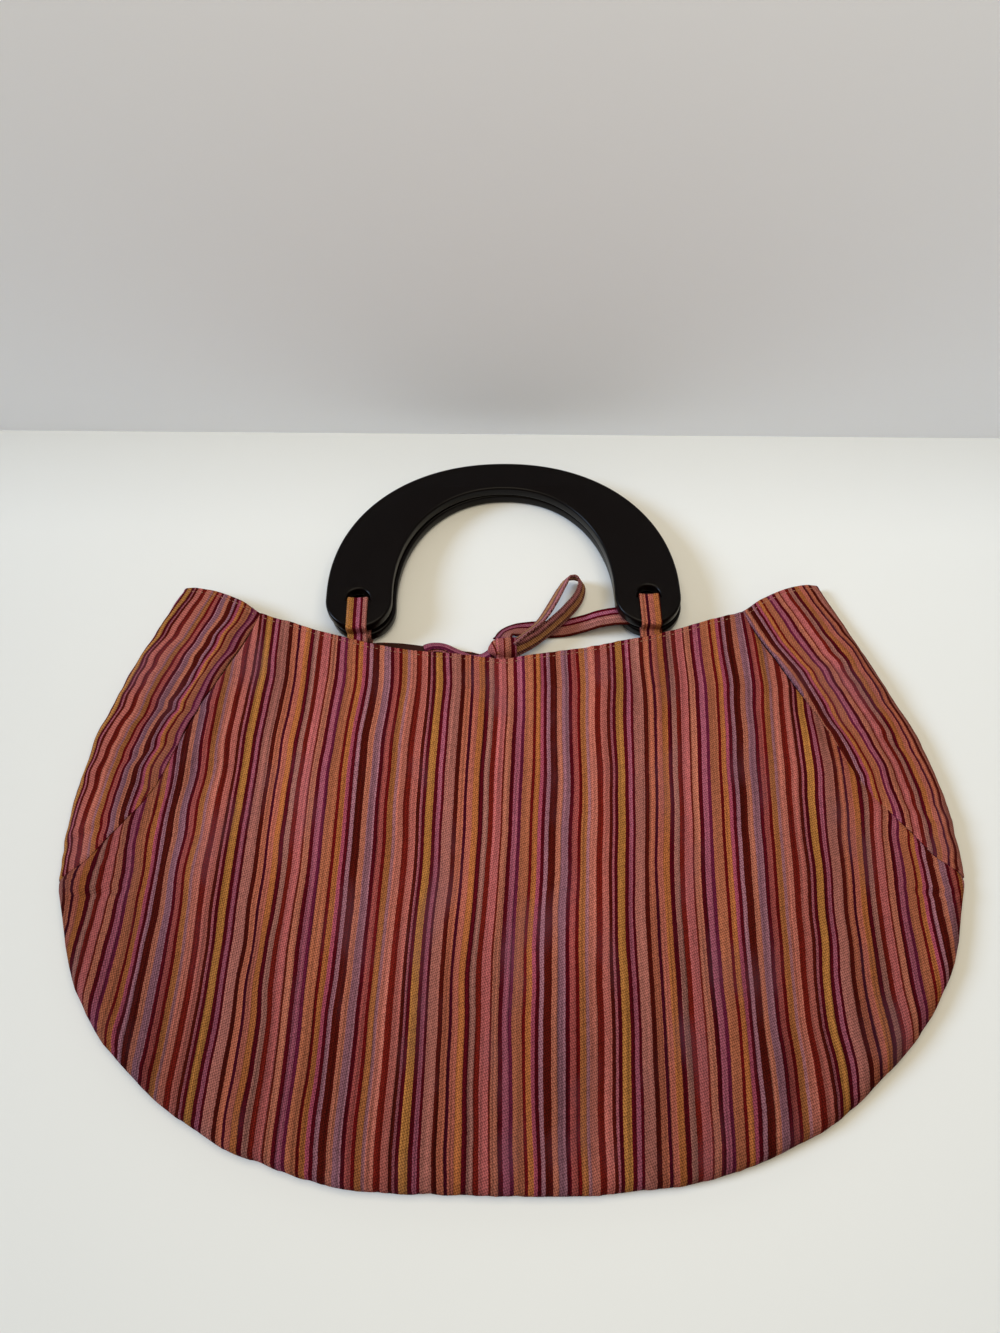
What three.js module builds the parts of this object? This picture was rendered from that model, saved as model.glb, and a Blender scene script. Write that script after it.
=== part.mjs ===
// Cloth handbag with two flat wooden handles, lying on its back panel. Millimetres, +Z up.
// X runs across the bag, Y from the bottom seam towards the handles, Z up from the resting surface.
import * as THREE from 'three';
import { mergeVertices } from 'three/addons/utils/BufferGeometryUtils.js';

// Driving sizes of the cloth body
const HALF_WIDTH = 219.5;
const SIDE_POINT_Y = -1.5;
const BOTTOM_DROP = 135.2;
const CORNER_Y = 163.5;
const CORNER_HALF_WIDTH = 177;
const HEM_DIP_Y = 115.8;
const APEX_HALF_WIDTH = 131;
const LEAN = 3.2;
const CLOTH_WALL = 1.4;
const CLEARANCE = 0.3;

// Heights of the filled-out body above the resting surface
const SEAM_HEIGHT = 4;
const ROLL_RISE = 7;
const ROLL_WIDTH = 10;
const SWELL_RISE = 10;
const SWELL_WIDTH = 95;
const BACK_ROLL_WIDTH = 6;
const FULL_RISE = ROLL_RISE + SWELL_RISE;
const FOLD_SIZE = 10;
const HEM_BLEND = 70;
const BACK_HEM_RISE = 3;
const MOUTH_GAPE = 5.5;
const GAPE_X = -35;
const GAPE_WIDTH = 38;

// Lining pouch
const LINING_WALL = 0.8;
const LINING_INSET = 5;
const LINING_SLACK = 1.8;
const LINING_BACK_GAP = 0.6;
const LINING_DROP = 9;
const LINING_CORNER_TURN = 50;
const LINING_SIDE_SHARE = 0.625;

// Wooden handles
const HANDLE_HALF_WIDTH = 96;
const GRIP_HALF_WIDTH = 60.3;
const HANDLE_CROWN = 0.9354 * HANDLE_HALF_WIDTH;
const GRIP_CROWN = 1.1725 * GRIP_HALF_WIDTH;
const HANDLE_CURVE_POWER = 2.12;
const FOOT_ABOVE_HEM = 3.3;
const FOOT_SHANK = 3.85;
const HANDLE_THICKNESS = 6.5;
const HANDLE_EDGE = 0.9;
const HANDLE_TURN = THREE.MathUtils.degToRad(1.1);
const BACK_HANDLE_SHIFT = 1.4;
const FOOT_RADIUS = (HANDLE_HALF_WIDTH - GRIP_HALF_WIDTH) / 2;
const FOOT_X = (HANDLE_HALF_WIDTH + GRIP_HALF_WIDTH) / 2;
const SLOT_OUT = FOOT_X + 0.02 * FOOT_RADIUS;
const SLOT_WIDTH = 12.4;
const SLOT_ABOVE_FOOT = 0.947 * FOOT_RADIUS;
const SLOT_SHOULDER = 1;

// Cloth loops through the handles, and the tie
const RIBBON_WIDTH = 11;
const RIBBON_THICKNESS = 1.1;
const TIE_SIZE = 10;
const TAIL_TUCK = 7.4;
const STEEPEST_RUN = 0.4;
const LOOP_CLEARANCE = 0.4;
const TUCK_CLEARANCE = 1.15;
const PITCH_ROOM = 0.6;
const CORNER_STAND_OFF = 0.68;

// Mesh fineness
const HEM_COLUMNS = 18;
const FRONT_ROWS = 15;
const BACK_ROWS = 11;
const SEAM_STEPS = 14;
const SIDE_TIP = 0.975;
const SIDE_FOLD_STEPS = 7;
const LINING_COLUMNS = 20;
const LINING_ROWS = 9;

// Bottom outline: how full it is against an ellipse, by the turn in degrees from the side point downwards
const FULLNESS = [
  { turn: 0, reach: 0.997 },
  { turn: 9, reach: 0.982 },
  { turn: 20, reach: 0.987 },
  { turn: 30, reach: 0.995 },
  { turn: 40, reach: 1.003 },
  { turn: 50, reach: 1.019 },
  { turn: 60, reach: 1.031 },
  { turn: 70, reach: 1.03 },
  { turn: 80, reach: 1.008 },
  { turn: 90, reach: 1 },
];

// Side fold above the side point: share of the half width against share of the way up to the corner
const FOLD_LINE = [
  { up: 0, out: 0.997 },
  { up: 0.07, out: 1.0 },
  { up: 0.18, out: 0.998 },
  { up: 0.31, out: 0.986 },
  { up: 0.44, out: 0.967 },
  { up: 0.58, out: 0.93 },
  { up: 0.72, out: 0.894 },
  { up: 0.84, out: 0.857 },
  { up: 1, out: CORNER_HALF_WIDTH / HALF_WIDTH },
];

// Hem of the front: share of the rise from the dip to the corner, and the hem's own height above the side fold as
// a share of the fullest rise
const HEM_LINE = [
  { out: 0, rise: 0, height: 0.5294 },
  { out: 0.22, rise: 0.1, height: 0.5647 },
  { out: 0.38, rise: 0.195, height: 0.6824 },
  { out: 0.44, rise: 0.233, height: 0.7412 },
  { out: 0.53, rise: 0.322, height: 0.7 },
  { out: 0.64, rise: 0.472, height: 0.5529 },
  { out: 0.74, rise: 0.594, height: 0.4706 },
  { out: 0.81, rise: 0.778, height: 0.4 },
  { out: 0.905, rise: 0.93, height: 0.3294 },
  { out: 1, rise: 1, height: 0.2706 },
];

// Seam between a main panel and a side panel, from the hem down to the side point
const SEAM_LINE = [
  { down: 0, out: 0 },
  { down: 0.1, out: 0.06 },
  { down: 0.21, out: 0.145 },
  { down: 0.3, out: 0.215 },
  { down: 0.38, out: 0.29 },
  { down: 0.46, out: 0.35 },
  { down: 0.56, out: 0.42 },
  { down: 0.66, out: 0.485 },
  { down: 0.73, out: 0.555 },
  { down: 0.8, out: 0.655 },
  { down: 0.86, out: 0.745 },
  { down: 0.93, out: 0.84 },
  { down: 1, out: 1 },
];

// Soft folds in the front: place as shares of the half width and of the corner's height, heading in degrees,
// reach along and across and depth as shares of the fold size
const FOLDS = [
  { out: -0.75, up: 0.68, heading: 55, along: 2.6, across: 0.7, depth: 0.15 },
  { out: -0.86, up: 0.42, heading: 62, along: 3, across: 0.8, depth: 0.12 },
  { out: -0.9, up: -0.06, heading: 40, along: 2.2, across: 0.7, depth: 0.14 },
  { out: -0.7, up: 0.28, heading: 30, along: 2.4, across: 0.8, depth: 0.11 },
  { out: 0.84, up: 0.72, heading: -58, along: 2.2, across: 0.7, depth: -0.12 },
  { out: 0.76, up: 0.5, heading: -50, along: 3, across: 0.8, depth: 0.13 },
  { out: 0.91, up: 0.06, heading: -35, along: 2.2, across: 0.7, depth: 0.14 },
  { out: -0.3, up: -0.2, heading: 86, along: 8, across: 2.2, depth: 0.13 },
  { out: 0.33, up: 0.1, heading: 93, along: 8.5, across: 2.4, depth: 0.12 },
  { out: 0.05, up: -0.45, heading: 8, along: 9.5, across: 1.8, depth: 0.1 },
];

// Run of each piece of the tie, from the cloth to the free end, as shares of the tie's size: x across the bag,
// beyond the lowest point of the hem, lift of the ribbon's centre line above the piece's base height, and its roll
// from lying flat in degrees
const TIE_TAB = [
  { x: 0.13, beyond: -0.65, lift: -0.16, roll: 0 },
  { x: 0.13, beyond: -0.12, lift: -0.15, roll: 0 },
  { x: 0.13, beyond: 0.16, lift: -0.05, roll: 0 },
  { x: 0.13, beyond: 0.22, lift: 0.12, roll: 0 },
  { x: 0.13, beyond: 0.22, lift: 0.21, roll: 0 },
];
const TIE_BACK_TAB = [
  { x: -0.3, beyond: -0.4, lift: 0.09, roll: 0 },
  { x: -0.3, beyond: 0.1, lift: 0.09, roll: 0 },
  { x: -0.3, beyond: 0.56, lift: 0.17, roll: 0 },
  { x: -0.3, beyond: 0.74, lift: 0.44, roll: 0 },
  { x: -0.3, beyond: 0.76, lift: 0.7, roll: 0 },
];
const TIE_BOW = [
  { x: 0.62, beyond: 0.86, lift: 1.56, roll: 58 },
  { x: 1.2, beyond: 1.4, lift: 1.49, roll: 64 },
  { x: 1.85, beyond: 2.26, lift: 1.3, roll: 68 },
  { x: 2.5, beyond: 3.42, lift: 1.1, roll: 70 },
  { x: 3.12, beyond: 4.54, lift: 0.96, roll: 70 },
  { x: 3.52, beyond: 5.1, lift: 0.9, roll: 64 },
  { x: 3.96, beyond: 5.22, lift: 0.84, roll: 58 },
  { x: 4.26, beyond: 4.86, lift: 0.8, roll: 53 },
  { x: 4.08, beyond: 4.08, lift: 0.82, roll: 50 },
  { x: 3.48, beyond: 3.1, lift: 0.94, roll: 50 },
  { x: 2.74, beyond: 2.14, lift: 1.1, roll: 52 },
  { x: 1.96, beyond: 1.3, lift: 1.2, roll: 54 },
  { x: 1.22, beyond: 0.62, lift: 1.24, roll: 56 },
  { x: 0.84, beyond: 0.34, lift: 1.26, roll: 58 },
];
const TIE_LONG_TAIL = [
  { x: -0.1, beyond: 1.24, lift: 1.22, roll: 26 },
  { x: 0.14, beyond: 1.74, lift: 0.82, roll: 30 },
  { x: 0.7, beyond: 2.12, lift: 0.48, roll: 22 },
  { x: 1.5, beyond: 2.28, lift: 0.26, roll: 8 },
  { x: 2.5, beyond: 2.36, lift: 0.16, roll: 2 },
  { x: 3.4, beyond: 2.44, lift: 0.18, roll: 2 },
  { x: 4.3, beyond: 2.54, lift: 0.46, roll: 4 },
  { x: 5.2, beyond: 2.64, lift: 0.86, roll: 3 },
  { x: 6, beyond: 2.7, lift: 1.05, roll: 1 },
  { x: 6.8, beyond: 2.74, lift: 1.06, roll: 1 },
];
const TIE_SHORT_TAIL = [
  { x: -1.02, beyond: 0.8, lift: 0.94, roll: -10 },
  { x: -1.36, beyond: 1.28, lift: 0.54, roll: -24 },
  { x: -2, beyond: 1.54, lift: 0.4, roll: -32 },
  { x: -2.9, beyond: 1.7, lift: 0.41, roll: -36 },
  { x: -3.8, beyond: 1.76, lift: 0.39, roll: -34 },
  { x: -4.4, beyond: 1.68, lift: 0.34, roll: -26 },
];
const KNOT = { x: -0.16, beyond: 0.66, lift: 1.3, length: 1.3, width: 0.64, height: 0.6, turn: 22 };

const clamp01 = (value) => Math.min(1, Math.max(0, value));
const smooth = (value) => clamp01(value) ** 2 * (3 - 2 * clamp01(value));
const mix = (from, to, share) => from + (to - from) * share;
const roundRise = (share) => Math.sqrt(1 - (1 - clamp01(share)) ** 2);

// Smooth value of one column of a table against another, without overshoot between its rows.
function column(table, key, value, at) {
  const last = table.length - 1;
  const place = Math.min(Math.max(at, table[0][key]), table[last][key]);
  let row = 0;
  while (row < last - 1 && place > table[row + 1][key]) row += 1;
  const slope = (from) => (table[from + 1][value] - table[from][value]) / (table[from + 1][key] - table[from][key]);
  const tangent = (station) => {
    if (station === 0) return slope(0);
    if (station === last) return slope(last - 1);
    const before = slope(station - 1);
    const after = slope(station);
    return before * after <= 0 ? 0 : (2 * before * after) / (before + after);
  };
  const width = table[row + 1][key] - table[row][key];
  const share = (place - table[row][key]) / width;
  const s2 = share * share;
  const s3 = s2 * share;
  return (2 * s3 - 3 * s2 + 1) * table[row][value]
    + (s3 - 2 * s2 + share) * width * tangent(row)
    + (3 * s2 - 2 * s3) * table[row + 1][value]
    + (s3 - s2) * width * tangent(row + 1);
}

// Outline of the whole cloth body, seen from above and drawn without its lean.
const foldX = (y) => HALF_WIDTH * column(FOLD_LINE, 'up', 'out', (y - SIDE_POINT_Y) / (CORNER_Y - SIDE_POINT_Y));

function bottomPoint(turnDegrees, inset = 0) {
  const turn = THREE.MathUtils.degToRad(turnDegrees);
  const reach = column(FULLNESS, 'turn', 'reach', turnDegrees);
  const x = HALF_WIDTH * Math.cos(turn) * reach;
  const y = BOTTOM_DROP * Math.sin(turn) * reach;
  const keep = 1 - inset / Math.hypot(x, y);
  return { x: x * keep, y: SIDE_POINT_Y - y * keep };
}

function bottomY(x) {
  let low = 0;
  let high = 90;
  for (let step = 0; step < 40; step += 1) {
    const middle = (low + high) / 2;
    if (bottomPoint(middle).x > Math.abs(x)) low = middle;
    else high = middle;
  }
  return bottomPoint((low + high) / 2).y;
}

function hemY(x, back = false) {
  const out = Math.abs(x) / CORNER_HALF_WIDTH;
  const front = mix(HEM_DIP_Y, CORNER_Y, column(HEM_LINE, 'out', 'rise', out));
  if (!back) return front;
  const gape = MOUTH_GAPE * Math.exp(-(((x - GAPE_X) / GAPE_WIDTH) ** 2));
  return front + (BACK_HEM_RISE + gape) * (1 - smooth(Math.abs(x) / APEX_HALF_WIDTH));
}

const FOOT_BOTTOM_Y = hemY(FOOT_X) + FOOT_ABOVE_HEM;
const SLOT_FLOOR_Y = FOOT_BOTTOM_Y + SLOT_ABOVE_FOOT;
const HANDLE_WAIST_Y = FOOT_BOTTOM_Y + FOOT_RADIUS + FOOT_SHANK;
const SIDE_POINT_X = bottomPoint(0).x;
const APEX_Y = hemY(APEX_HALF_WIDTH);

// Point on the seam for a share of the way down it, and the seam's height on the page for a distance out.
function seamPoint(down) {
  return {
    x: mix(APEX_HALF_WIDTH, SIDE_POINT_X, column(SEAM_LINE, 'down', 'out', down)),
    y: mix(APEX_Y, SIDE_POINT_Y, down),
  };
}

const seamY = (x) => mix(APEX_Y, SIDE_POINT_Y, column(
  SEAM_LINE, 'out', 'down', (Math.abs(x) - APEX_HALF_WIDTH) / (SIDE_POINT_X - APEX_HALF_WIDTH),
));

// Shares of the way down the seam where both panels that meet there have their corners.
const SEAM_STATIONS = Array.from({ length: SEAM_STEPS + 1 }, (_, step) => SIDE_TIP * (1 - (1 - step / SEAM_STEPS) ** 1.4));

const panelTop = (x, back) => (Math.abs(x) < APEX_HALF_WIDTH ? hemY(x, back) : seamY(x));

// Distance in from the outline, zero on it.
function inFromEdge(x, y) {
  if (y >= SIDE_POINT_Y) return foldX(y) - Math.abs(x);
  const across = Math.abs(x) / HALF_WIDTH;
  const below = (SIDE_POINT_Y - y) / BOTTOM_DROP;
  const turn = THREE.MathUtils.radToDeg(Math.atan2(below, across));
  const edge = bottomPoint(turn);
  return Math.hypot(edge.x, edge.y - SIDE_POINT_Y) - Math.hypot(x, y - SIDE_POINT_Y);
}

// Rise of the front over the side fold, before the edge rolls under.
function frontRise(x, y) {
  const swell = ROLL_RISE + SWELL_RISE * smooth(inFromEdge(x, y) / SWELL_WIDTH);
  const hem = FULL_RISE * column(HEM_LINE, 'out', 'height', Math.abs(x) / CORNER_HALF_WIDTH);
  let rise = mix(hem, swell, smooth((hemY(x) - y) / HEM_BLEND));
  for (const fold of FOLDS) {
    const heading = THREE.MathUtils.degToRad(fold.heading);
    const dx = x - fold.out * HALF_WIDTH;
    const dy = y - fold.up * CORNER_Y;
    const along = (dx * Math.cos(heading) + dy * Math.sin(heading)) / (fold.along * FOLD_SIZE);
    const across = (dy * Math.cos(heading) - dx * Math.sin(heading)) / (fold.across * FOLD_SIZE);
    rise -= fold.depth * FOLD_SIZE * Math.exp(-(along ** 2) - across ** 2);
  }
  return rise;
}

const slopeOf = (field, x, y, step = 0.5) => ({
  x: (field(x + step, y) - field(x - step, y)) / (2 * step),
  y: (field(x, y + step) - field(x, y - step)) / (2 * step),
});

// Point on the outside of the cloth and its outward direction. side is 1 on the front and -1 on the back.
function clothPoint(x, y, side, roll = {}) {
  const inset = roll.inset ?? 0;
  const rollWidth = side > 0 ? ROLL_WIDTH : roll.backWidth ?? BACK_ROLL_WIDTH;
  const sink = (side > 0 ? roll.frontSink : roll.backSink) ?? 0;
  const rise = (side > 0 ? frontRise(x, y) : SEAM_HEIGHT) - sink;
  const depth = Math.max(0, inFromEdge(x, y) - inset);
  const share = clamp01(depth / rollWidth);
  const lift = roundRise(share);
  const inward = slopeOf(inFromEdge, x, Math.min(y, CORNER_Y - 1));
  const size = Math.hypot(inward.x, inward.y) || 1;
  const lean = side > 0 ? slopeOf(frontRise, x, y) : { x: 0, y: 0 };
  const steep = (rise * (1 - share)) / rollWidth;
  const normal = new THREE.Vector3(
    (-inward.x / size) * steep - side * lift * lift * lean.x,
    (-inward.y / size) * steep - side * lift * lift * lean.y,
    side * lift,
  ).normalize();
  return { point: new THREE.Vector3(x, y, SEAM_HEIGHT + side * lift * rise), normal };
}

const leanX = (y) => LEAN * smooth((CORNER_Y - y) / (CORNER_Y - SIDE_POINT_Y));

// One closed solid from an outside grid of points and the matching inside grid.
function wallSolid(outside, inside) {
  const rows = outside.length;
  const columns = outside[0].length;
  const points = [...outside.flat(), ...inside.flat()];
  const at = (layer, row, place) => layer * rows * columns + row * columns + place;
  const faces = [];
  const quad = (a, b, c, d) => faces.push([a, b, c], [a, c, d]);
  const lastRow = rows - 1;
  const lastPlace = columns - 1;
  for (let row = 0; row < lastRow; row += 1) {
    for (let place = 0; place < lastPlace; place += 1) {
      quad(at(0, row, place), at(0, row + 1, place), at(0, row + 1, place + 1), at(0, row, place + 1));
      quad(at(1, row, place), at(1, row, place + 1), at(1, row + 1, place + 1), at(1, row + 1, place));
    }
    quad(at(0, row, 0), at(1, row, 0), at(1, row + 1, 0), at(0, row + 1, 0));
    quad(at(0, row + 1, lastPlace), at(1, row + 1, lastPlace), at(1, row, lastPlace), at(0, row, lastPlace));
  }
  for (let place = 0; place < lastPlace; place += 1) {
    quad(at(0, 0, place), at(0, 0, place + 1), at(1, 0, place + 1), at(1, 0, place));
    quad(at(0, lastRow, place + 1), at(0, lastRow, place), at(1, lastRow, place), at(1, lastRow, place + 1));
  }
  return solidFrom(points, faces);
}

// Triangles to a closed geometry: meeting corners are joined, flat leftovers dropped, faces turned outwards.
function solidFrom(points, faces) {
  const raw = new THREE.BufferGeometry();
  raw.setAttribute('position', new THREE.Float32BufferAttribute(points.flatMap((p) => [p.x, p.y, p.z]), 3));
  raw.setIndex(faces.flat());
  const joined = mergeVertices(raw, 1e-3);
  const index = joined.index.array;
  const position = joined.attributes.position;
  const kept = [];
  let volume = 0;
  const corner = [new THREE.Vector3(), new THREE.Vector3(), new THREE.Vector3()];
  for (let face = 0; face < index.length; face += 3) {
    const [a, b, c] = index.slice(face, face + 3);
    if (a === b || b === c || c === a) continue;
    corner[0].fromBufferAttribute(position, a);
    corner[1].fromBufferAttribute(position, b);
    corner[2].fromBufferAttribute(position, c);
    volume += corner[0].dot(corner[1].cross(corner[2]));
    kept.push([a, b, c]);
  }
  const outward = volume < 0 ? kept.map(([a, b, c]) => [a, c, b]) : kept;
  joined.setIndex(outward.flat());
  joined.computeVertexNormals();
  return joined;
}

// Both skins of a cloth wall from rows of points with their outward directions.
function clothSolid(grid, thickness) {
  const shifted = (entry, depth) => {
    const place = entry.point.clone().addScaledVector(entry.normal, -depth);
    place.x += leanX(entry.point.y);
    return place;
  };
  const outside = grid.map((row) => row.map((entry) => shifted(entry, 0)));
  const inside = grid.map((row) => row.map((entry) => shifted(entry, thickness)));
  return wallSolid(outside, inside);
}

// Places across a main panel: even along the hem, then at the seam's own stations out to the side points.
function panelPlaces() {
  const outer = [...SEAM_STATIONS, 1].map((down) => seamPoint(down).x);
  const hem = Array.from({ length: HEM_COLUMNS - 1 }, (_, step) => (
    mix(-APEX_HALF_WIDTH, APEX_HALF_WIDTH, (step + 1) / HEM_COLUMNS)
  ));
  return [...outer.map((x) => -x).reverse(), ...hem, ...outer];
}

// Main panel: columns from hem or seam down to the bottom seam, with rows closer together at the bottom.
function mainPanel(side, rows) {
  const places = panelPlaces();
  const grid = [];
  for (let row = 0; row <= rows; row += 1) {
    const down = Math.sin((row / rows) * (Math.PI / 2));
    grid.push(places.map((x) => {
      const y = mix(panelTop(x, side < 0), bottomY(x), down);
      const entry = clothPoint(x, y, side);
      const rollWidth = side > 0 ? ROLL_WIDTH : BACK_ROLL_WIDTH;
      entry.point.z += ((side * CLEARANCE) / 2) * (1 - clamp01(inFromEdge(x, y) / rollWidth));
      return entry;
    }));
  }
  return clothSolid(grid, CLOTH_WALL);
}

// Side panel: one strip from the front seam, round the side fold, to the back seam. hand is -1 left, 1 right.
function sidePanel(hand) {
  const grid = SEAM_STATIONS.map((down) => {
    const above = seamPoint(Math.max(0, down - 0.02));
    const below = seamPoint(down + 0.02);
    const run = Math.hypot(below.x - above.x, below.y - above.y);
    const seam = seamPoint(down);
    seam.x += (CLEARANCE * (above.y - below.y)) / run;
    seam.y += (CLEARANCE * (below.x - above.x)) / run;
    const foldY = mix(CORNER_Y, SIDE_POINT_Y, down);
    const fold = { x: foldX(foldY), y: foldY };
    const line = [];
    for (let step = -SIDE_FOLD_STEPS; step <= SIDE_FOLD_STEPS; step += 1) {
      const inward = (Math.abs(step) / SIDE_FOLD_STEPS) ** 1.7;
      const x = mix(fold.x, seam.x, inward);
      const hemBow = hemY(x) - mix(CORNER_Y, APEX_Y, inward);
      const y = mix(fold.y, seam.y, inward) + (1 - down) ** 6 * hemBow;
      line.push(clothPoint(hand * x, y, step < 0 ? 1 : -1));
    }
    return line;
  });
  return clothSolid(grid, CLOTH_WALL);
}

// One half of the lining pouch, from the rim down to the outline inside the seams. face is 1 front, -1 back.
function liningHalf(face) {
  const roll = {
    inset: LINING_INSET,
    frontSink: CLOTH_WALL + LINING_SLACK,
    backSink: CLOTH_WALL + LINING_BACK_GAP,
    backWidth: BACK_ROLL_WIDTH / 2,
  };
  const rollWidth = face > 0 ? ROLL_WIDTH : roll.backWidth;
  const corner = bottomPoint(LINING_CORNER_TURN, LINING_INSET);
  const rimCornerY = CORNER_Y - LINING_DROP;
  const rimCornerX = foldX(rimCornerY) - LINING_INSET;
  const rimY = (across) => hemY(across * CORNER_HALF_WIDTH) - LINING_DROP;
  const sideLine = (down) => {
    const fallen = down / LINING_SIDE_SHARE;
    if (fallen < 1) {
      const y = mix(rimCornerY, SIDE_POINT_Y, fallen);
      return { x: foldX(y) - LINING_INSET, y };
    }
    const turned = (down - LINING_SIDE_SHARE) / (1 - LINING_SIDE_SHARE);
    return bottomPoint(turned * LINING_CORNER_TURN, LINING_INSET);
  };
  const place = (across, down) => {
    const low = bottomPoint(mix(90, LINING_CORNER_TURN, Math.abs(across)), LINING_INSET);
    const side = sideLine(down);
    const straightX = mix(across * rimCornerX, Math.sign(across) * low.x, down);
    const straightY = mix(rimY(across), low.y, down);
    return {
      x: straightX + across * (side.x - mix(rimCornerX, corner.x, down)),
      y: straightY + Math.abs(across) ** 3 * (side.y - mix(rimY(1), corner.y, down)),
    };
  };
  const grid = [];
  for (let row = 0; row <= LINING_ROWS; row += 1) {
    const down = Math.sin((row / LINING_ROWS) * (Math.PI / 2));
    grid.push(Array.from({ length: LINING_COLUMNS + 1 }, (_, step) => {
      const { x, y } = place(Math.sin((step / LINING_COLUMNS - 0.5) * Math.PI), down);
      const entry = clothPoint(x, y, face, roll);
      const inside = clamp01((inFromEdge(x, y) - LINING_INSET) / rollWidth);
      entry.point.z += ((face * CLEARANCE) / 2) * (1 - inside);
      return entry;
    }));
  }
  return clothSolid(grid, LINING_WALL);
}

// Points of a rounded arch over a half turn, from the right end to the left.
function archPoints(halfWidth, crown, waistY, steps) {
  return Array.from({ length: steps + 1 }, (_, step) => {
    const turn = (Math.PI * step) / steps;
    const across = Math.abs(Math.cos(turn)) ** (2 / HANDLE_CURVE_POWER) * Math.sign(Math.cos(turn));
    const up = Math.max(0, Math.sin(turn)) ** (2 / HANDLE_CURVE_POWER);
    return new THREE.Vector2(halfWidth * across, waistY + crown * up);
  });
}

// Flat D-shaped handle, widening to two round feet with an arched slot in each.
function handlePlate() {
  const footY = FOOT_BOTTOM_Y + FOOT_RADIUS;
  const foot = (x) => Array.from({ length: 13 }, (_, step) => {
    const turn = Math.PI + (Math.PI * step) / 12;
    return new THREE.Vector2(x + FOOT_RADIUS * Math.cos(turn), footY + FOOT_RADIUS * Math.sin(turn));
  });
  const outer = archPoints(HANDLE_HALF_WIDTH, HANDLE_CROWN, HANDLE_WAIST_Y, 32);
  const inner = archPoints(GRIP_HALF_WIDTH, GRIP_CROWN, HANDLE_WAIST_Y, 26).reverse();
  const shape = new THREE.Shape([...outer, ...foot(-FOOT_X), ...inner, ...foot(FOOT_X)]);
  for (const hand of [-1, 1]) {
    const centreX = hand * SLOT_OUT;
    const half = SLOT_WIDTH / 2;
    const arch = Array.from({ length: 9 }, (_, step) => {
      const turn = (Math.PI * step) / 8;
      return new THREE.Vector2(
        centreX + half * Math.cos(turn),
        SLOT_FLOOR_Y + SLOT_SHOULDER + half * Math.sin(turn),
      );
    });
    const floor = [new THREE.Vector2(centreX - half, SLOT_FLOOR_Y), new THREE.Vector2(centreX + half, SLOT_FLOOR_Y)];
    shape.holes.push(new THREE.Path([...arch, ...floor]));
  }
  const plate = new THREE.ExtrudeGeometry(shape, {
    depth: HANDLE_THICKNESS - 2 * HANDLE_EDGE,
    bevelThickness: HANDLE_EDGE,
    bevelSize: HANDLE_EDGE,
    bevelOffset: -HANDLE_EDGE,
    bevelSegments: 1,
  });
  plate.translate(0, 0, HANDLE_EDGE);
  plate.deleteAttribute('normal');
  plate.deleteAttribute('uv');
  const joined = mergeVertices(plate, 1e-4);
  joined.computeVertexNormals();
  return joined;
}

// Ribbon of cloth along a run of points; every row has its own centre, width direction and face direction.
function ribbonSolid(stations, width, thickness) {
  const corners = [[-1, -1], [1, -1], [1, 1], [-1, 1]];
  const points = [];
  const faces = [];
  for (const { centre, across, face } of stations) {
    for (const [side, level] of corners) {
      points.push(centre.clone()
        .addScaledVector(across, (side * width) / 2)
        .addScaledVector(face, (level * thickness) / 2));
    }
  }
  for (let row = 0; row < stations.length - 1; row += 1) {
    for (let place = 0; place < 4; place += 1) {
      const a = row * 4 + place;
      const b = row * 4 + ((place + 1) % 4);
      faces.push([a, b, b + 4], [a, b + 4, a + 4]);
    }
  }
  const end = (stations.length - 1) * 4;
  faces.push([0, 2, 1], [0, 3, 2], [end, end + 1, end + 2], [end, end + 2, end + 3]);
  return solidFrom(points, faces);
}

// Free ribbon from a table of its run.
function tieRibbon(run, samples, base = 0) {
  const path = new THREE.CatmullRomCurve3(run.map((row) => (
    new THREE.Vector3(row.x * TIE_SIZE, HEM_DIP_Y + row.beyond * TIE_SIZE, base + row.lift * TIE_SIZE)
  )));
  const stations = [];
  const level = new THREE.Vector3(1, 0, 0);
  for (let step = 0; step <= samples; step += 1) {
    const share = step / samples;
    const centre = path.getPoint(share);
    const along = path.getTangent(share);
    const place = share * (run.length - 1);
    const row = Math.min(Math.floor(place), run.length - 2);
    const roll = THREE.MathUtils.degToRad(mix(run[row].roll, run[row + 1].roll, place - row));
    if (Math.hypot(along.x, along.y) > STEEPEST_RUN) level.set(along.y, -along.x, 0).normalize();
    const up = new THREE.Vector3().crossVectors(level, along).normalize();
    const across = level.clone().multiplyScalar(Math.cos(roll)).addScaledVector(up, Math.sin(roll));
    stations.push({ centre, across, face: new THREE.Vector3().crossVectors(across, along).normalize() });
  }
  return ribbonSolid(stations, RIBBON_WIDTH, RIBBON_THICKNESS);
}

// Height of a handle's underside over its feet, and how much it drops by its crown.
const UNDER_STRAPS = RIBBON_THICKNESS + LOOP_CLEARANCE;
const BACK_FOOT_LIFT = CLOTH_WALL + CLEARANCE + UNDER_STRAPS;
const FRONT_FOOT_LIFT = BACK_FOOT_LIFT + HANDLE_THICKNESS + 2 * UNDER_STRAPS + PITCH_ROOM;
const HANDLE_REACH = HANDLE_WAIST_Y + HANDLE_CROWN - FOOT_BOTTOM_Y;
const BACK_PITCH = Math.atan(-BACK_FOOT_LIFT / HANDLE_REACH);
const FRONT_CROWN_LIFT = HANDLE_THICKNESS + CLEARANCE + 0.2;
const FRONT_PITCH = Math.atan((FRONT_CROWN_LIFT - FRONT_FOOT_LIFT) / HANDLE_REACH);

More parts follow.
